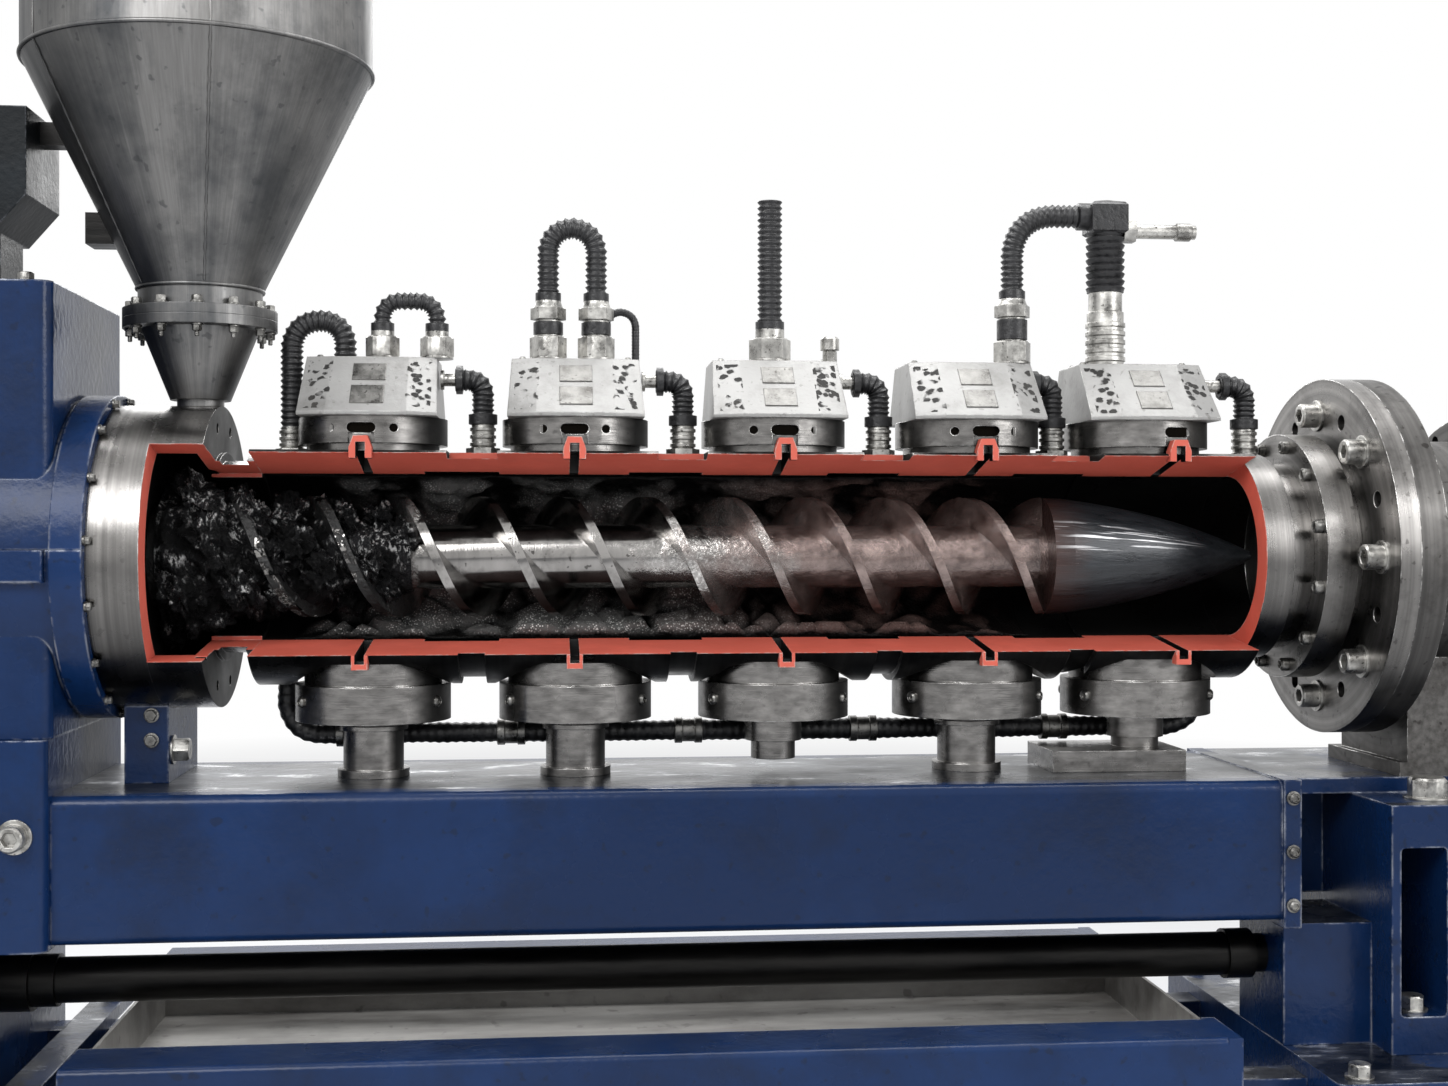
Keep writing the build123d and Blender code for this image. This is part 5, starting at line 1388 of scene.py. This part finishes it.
class EXTRUDER_OT_frame_bolts(bpy.types.Operator):
    """Builds the bolts of the gearbox, the pedestal, the beam end and the base"""

    bl_idname = "extruder.frame_bolts"
    bl_label = "Frame bolts"

    def execute(self, context):
        flats = sizes().frame_bolt
        large, small = Shape(), Shape()
        up, front, right = (0, 0, 1), (0, -1, 0), (1, 0, 0)
        for x, turn in ((900, 0.3), (1010, 0.9)):
            hex_bolt(large, spot(x, -130, -300), up, 0.042, 0.024, turn)
        for x in (-781, -1010):
            cap_screw(large, spot(x, -180, -313), front, 0.030, 0.020)
        for x in (869, 937, 1005):
            hex_bolt(large, spot(x, -150, -556), up, 0.028, 0.016)
        hex_bolt(large, spot(-640, -28, -234), right, 0.026, 0.018)
        for z in (-190, -220):
            hex_bolt(small, spot(-660, -50, z), front, 0.013, 0.007)
        for z in (-292, -357, -422):
            cap_screw(small, spot(712, -165, z), front, 0.013, 0.006)
        for x in (-1048, -975, -910):
            for side in (-1, 1):
                hex_bolt(large, spot(x, side * 184, 9), up, flats, 0.014, x * 0.01)
        for side in (-1, 1):
            for x in (-1030, -780):
                hex_bolt(small, spot(x, side * 140, 315), up, 0.016, 0.009, x * 0.02)
        for k in range(16):
            angle = math.radians(22.5 * k + 6)
            hex_bolt(small, spot(-704, 191 * math.sin(angle), 191 * math.cos(angle)), right, 0.0085, 0.005)
        for x in ZONE_X:
            for turn in (-58, 58, 122, -122):
                angle = math.radians(turn)
                out = Vector((math.sin(angle), -math.cos(angle), 0))
                cap_screw(small, spot(x * 1000, 0, -176) + out * 0.0945, out, 0.014, 0.005, washer=False)
        for x, away, z in (
            (-1040, 205, -500), (-860, 205, -500), (750, 262, -602), (1065, 262, -602), (-781, 250, -602),
        ):
            for side in (-1, 1):
                hex_bolt(large, spot(x, side * away, z), up, flats, 0.014)
        for side in (-1, 1):
            for z in (-580, -680):
                hex_bolt(small, spot(600, side * 245, z), right, 0.016, 0.009)
        large.made("frame_bolts", finish("zinc"), MACHINE, "zinc_steel", sharp=30)
        small.made("small_screws", finish("dull zinc"), MACHINE, "zinc_steel", sharp=30)
        return {"FINISHED"}


class EXTRUDER_OT_hopper_trim(bpy.types.Operator):
    """Builds the welds, the bead and the flange bolts of the hopper"""

    bl_idname = "extruder.hopper_trim"
    bl_label = "Hopper trim"

    def execute(self, context):
        welds, bolts = Shape(), Shape()
        centre = Vector((HOPPER_X, 0, AXIS_Z))

        def on_wall(angle, radius, height):
            return centre + Vector((math.sin(angle) * radius, -math.cos(angle) * radius, height))

        for degrees in (14, -52, 166):
            angle = math.radians(degrees)
            shares = [t / 60 for t in range(61)]
            line = [on_wall(angle, 0.0765 + 0.131 * share, 0.330 + 0.268 * share) for share in shares]
            welds.swept(line, lambda s: 0.0016 + 0.0005 * math.sin(s * 1600), 10)
            line = [on_wall(angle, 0.2079, 0.602 + 0.168 * t / 40) for t in range(41)]
            welds.swept(line, lambda s: 0.0014 + 0.0004 * math.sin(s * 1600), 10)
        beads = ((0.600, 0.2080, 0.0028), (0.327, 0.0748, 0.0026), (0.776, 0.2150, 0.0030))
        for height, radius, thick in beads:
            ring = [on_wall(2 * math.pi * k / 120, radius, height) for k in range(121)]
            welds.swept(ring, lambda s: thick, 10)
        for k in range(12):
            angle = math.radians(30 * k + 8)
            hex_bolt(bolts, on_wall(angle, 0.083, 0.302), (0, 0, 1), 0.011, 0.007, angle)
            stud_and_nut(bolts, on_wall(angle, 0.083, 0.278), (0, 0, -1), 0.010, 0.007, 0.005)
        welds.made("hopper_welds", finish("hopper sheet"), MACHINE, "hopper_steel", sharp=60)
        bolts.made("hopper_bolts", finish("dull zinc"), MACHINE, "zinc_steel", sharp=30)
        return {"FINISHED"}


class EXTRUDER_OT_cover_plates(bpy.types.Operator):
    """Builds the two bare plates on the front of each zone cover and the screws on its top"""

    bl_idname = "extruder.cover_plates"
    bl_label = "Cover plates"

    def execute(self, context):
        plates, screws = Shape(), Shape()
        slope = Vector((0, -72, 71)).normalized()
        for zone in ZONE_X:
            x = zone * 1000
            for low, high in ((0.14, 0.46), (0.56, 0.86)):
                corners = []
                for across, share in ((-20, low), (20, low), (20, high), (-20, high)):
                    corners.append(spot(x + across, COVER_FRONT + 71 * share, 174 + 72 * share))
                plates.plate(corners, slope, 0.0012, 0.0006)
            for across in (-66, 66):
                for back in (8, 56):
                    foot = spot(x + across, back, COVER_TOP)
                    cap_screw(screws, foot, (0, 0, 1), 0.010, 0.005, washer=False)
        plates.made("bare_plates", finish("plate tin"), MACHINE, "cover_paint", sharp=30)
        screws.made("cover_screws", finish("dull zinc"), MACHINE, "zinc_steel", sharp=30)
        return {"FINISHED"}


class EXTRUDER_OT_stage(bpy.types.Operator):
    """Sets up the camera, the soft lamps, the white background and the pale floor"""

    bl_idname = "extruder.stage"
    bl_label = "Stage"

    def execute(self, context):
        scene = context.scene
        settings = scene.extruder_stage
        camera_data = bpy.data.cameras.new("Viewer")
        camera_data.sensor_width = 36.0
        camera_data.lens = 36.0 * 1760.57 / 1448.0
        camera_data.clip_end = 100.0
        camera = bpy.data.objects.new("Viewer", camera_data)
        camera.location = (-0.1771, -2.221, 0.8195)
        camera.rotation_euler = (math.radians(90.0 - 0.07), 0.0, math.radians(-5.47))
        scene.collection.objects.link(camera)
        scene.camera = camera

        power = settings.key_power
        lamps = (
            ("Key", (-1.6, -2.8, 3.0), 2.6, 1.6, power),
            ("Right fill", (2.6, -2.2, 1.9), 1.6, 1.6, power * 0.42),
            ("Top strip", (0.0, 0.3, 3.2), 3.4, 0.9, power * 0.75),
            ("Back", (-0.6, 3.0, 2.4), 2.6, 1.2, power * 0.45),
        )
        for name, place, width, height, watts in lamps:
            lamp = bpy.data.lights.new(name, "AREA")
            lamp.shape = "RECTANGLE"
            lamp.size, lamp.size_y, lamp.energy = width, height, watts
            holder = bpy.data.objects.new(name, lamp)
            holder.location = place
            aim = Vector((0.0, 0.0, 0.75)) - Vector(place)
            holder.rotation_euler = aim.to_track_quat("-Z", "Y").to_euler()
            scene.collection.objects.link(holder)

        world = bpy.data.worlds.new("Studio")
        scene.world = world
        world.use_nodes = True
        world.node_tree.nodes.clear()
        graph = Graph(world.node_tree)
        rays = graph.node("LightPath").outputs
        seen = graph.any_of(rays["Is Camera Ray"], rays["Is Glossy Ray"], rays["Is Transmission Ray"])
        soft = graph.node("Background", {"Color": (0.92, 0.95, 1.0, 1.0), "Strength": 0.42})
        white = graph.node("Background", {"Color": (1.0, 1.0, 1.0, 1.0), "Strength": 1.0})
        mixed = graph.node("MixShader", {0: seen, 1: soft.outputs[0], 2: white.outputs[0]})
        graph.node("OutputWorld", {"Surface": mixed.outputs[0]})

        floor = Shape()
        turns = [math.tau * k / 64 for k in range(64)]
        circle = [Vector((math.cos(turn), math.sin(turn), 0)) for turn in turns]
        rings = [[point * radius for point in circle] for radius in (0.02, 1.5, 3.0, 6.0, 14.0)]
        floor.rings(rings, close_ends=False)
        floor.faces.append(tuple(reversed(range(64))))
        mesh = bpy.data.meshes.new("Floor")
        mesh.from_pydata([tuple(p) for p in floor.points], [], floor.faces)
        mesh.materials.append(finish("pale floor"))
        ground = bpy.data.objects.new("Floor", mesh)
        scene.collection.objects.link(ground)

        scene.view_settings.view_transform = "Standard"
        return {"FINISHED"}


OPERATORS = (
    EXTRUDER_OT_stage,
    EXTRUDER_OT_finishes,
    EXTRUDER_OT_feed_rubber,
    EXTRUDER_OT_wall_rubber,
    EXTRUDER_OT_top_hoses,
    EXTRUDER_OT_side_hoses,
    EXTRUDER_OT_lower_hose,
    EXTRUDER_OT_glands,
    EXTRUDER_OT_side_fittings,
    EXTRUDER_OT_head_screws,
    EXTRUDER_OT_frame_bolts,
    EXTRUDER_OT_hopper_trim,
    EXTRUDER_OT_cover_plates,
)


class EXTRUDER_PT_panel(bpy.types.Panel):
    bl_idname = "EXTRUDER_PT_panel"
    bl_label = "Extruder"
    bl_space_type = "VIEW_3D"
    bl_region_type = "UI"
    bl_category = "Extruder"

    def draw(self, context):
        layout = self.layout
        for group in (sizes(), colours(), context.scene.extruder_stage):
            box = layout.box()
            for name in group.__annotations__:
                box.prop(group, name)
        for operator in OPERATORS:
            layout.operator(operator.bl_idname)


PROPERTIES = (
    ("extruder_sizes", ExtruderSizes),
    ("extruder_colours", ExtruderColours),
    ("extruder_stage", ExtruderStage),
)


def register():
    for name, group in PROPERTIES:
        bpy.utils.register_class(group)
        setattr(bpy.types.Scene, name, bpy.props.PointerProperty(type=group))
    for operator in OPERATORS:
        bpy.utils.register_class(operator)
    bpy.utils.register_class(EXTRUDER_PT_panel)


def unregister():
    bpy.utils.unregister_class(EXTRUDER_PT_panel)
    for operator in reversed(OPERATORS):
        bpy.utils.unregister_class(operator)
    for name, group in reversed(PROPERTIES):
        delattr(bpy.types.Scene, name)
        bpy.utils.unregister_class(group)


def main():
    register()
    bpy.ops.extruder.stage()
    bpy.ops.extruder.finishes()
    bpy.ops.extruder.feed_rubber()
    bpy.ops.extruder.wall_rubber()
    bpy.ops.extruder.top_hoses()
    bpy.ops.extruder.side_hoses()
    bpy.ops.extruder.lower_hose()
    bpy.ops.extruder.glands()
    bpy.ops.extruder.side_fittings()
    bpy.ops.extruder.head_screws()
    bpy.ops.extruder.frame_bolts()
    bpy.ops.extruder.hopper_trim()
    bpy.ops.extruder.cover_plates()


if __name__ == "__main__":
    main()
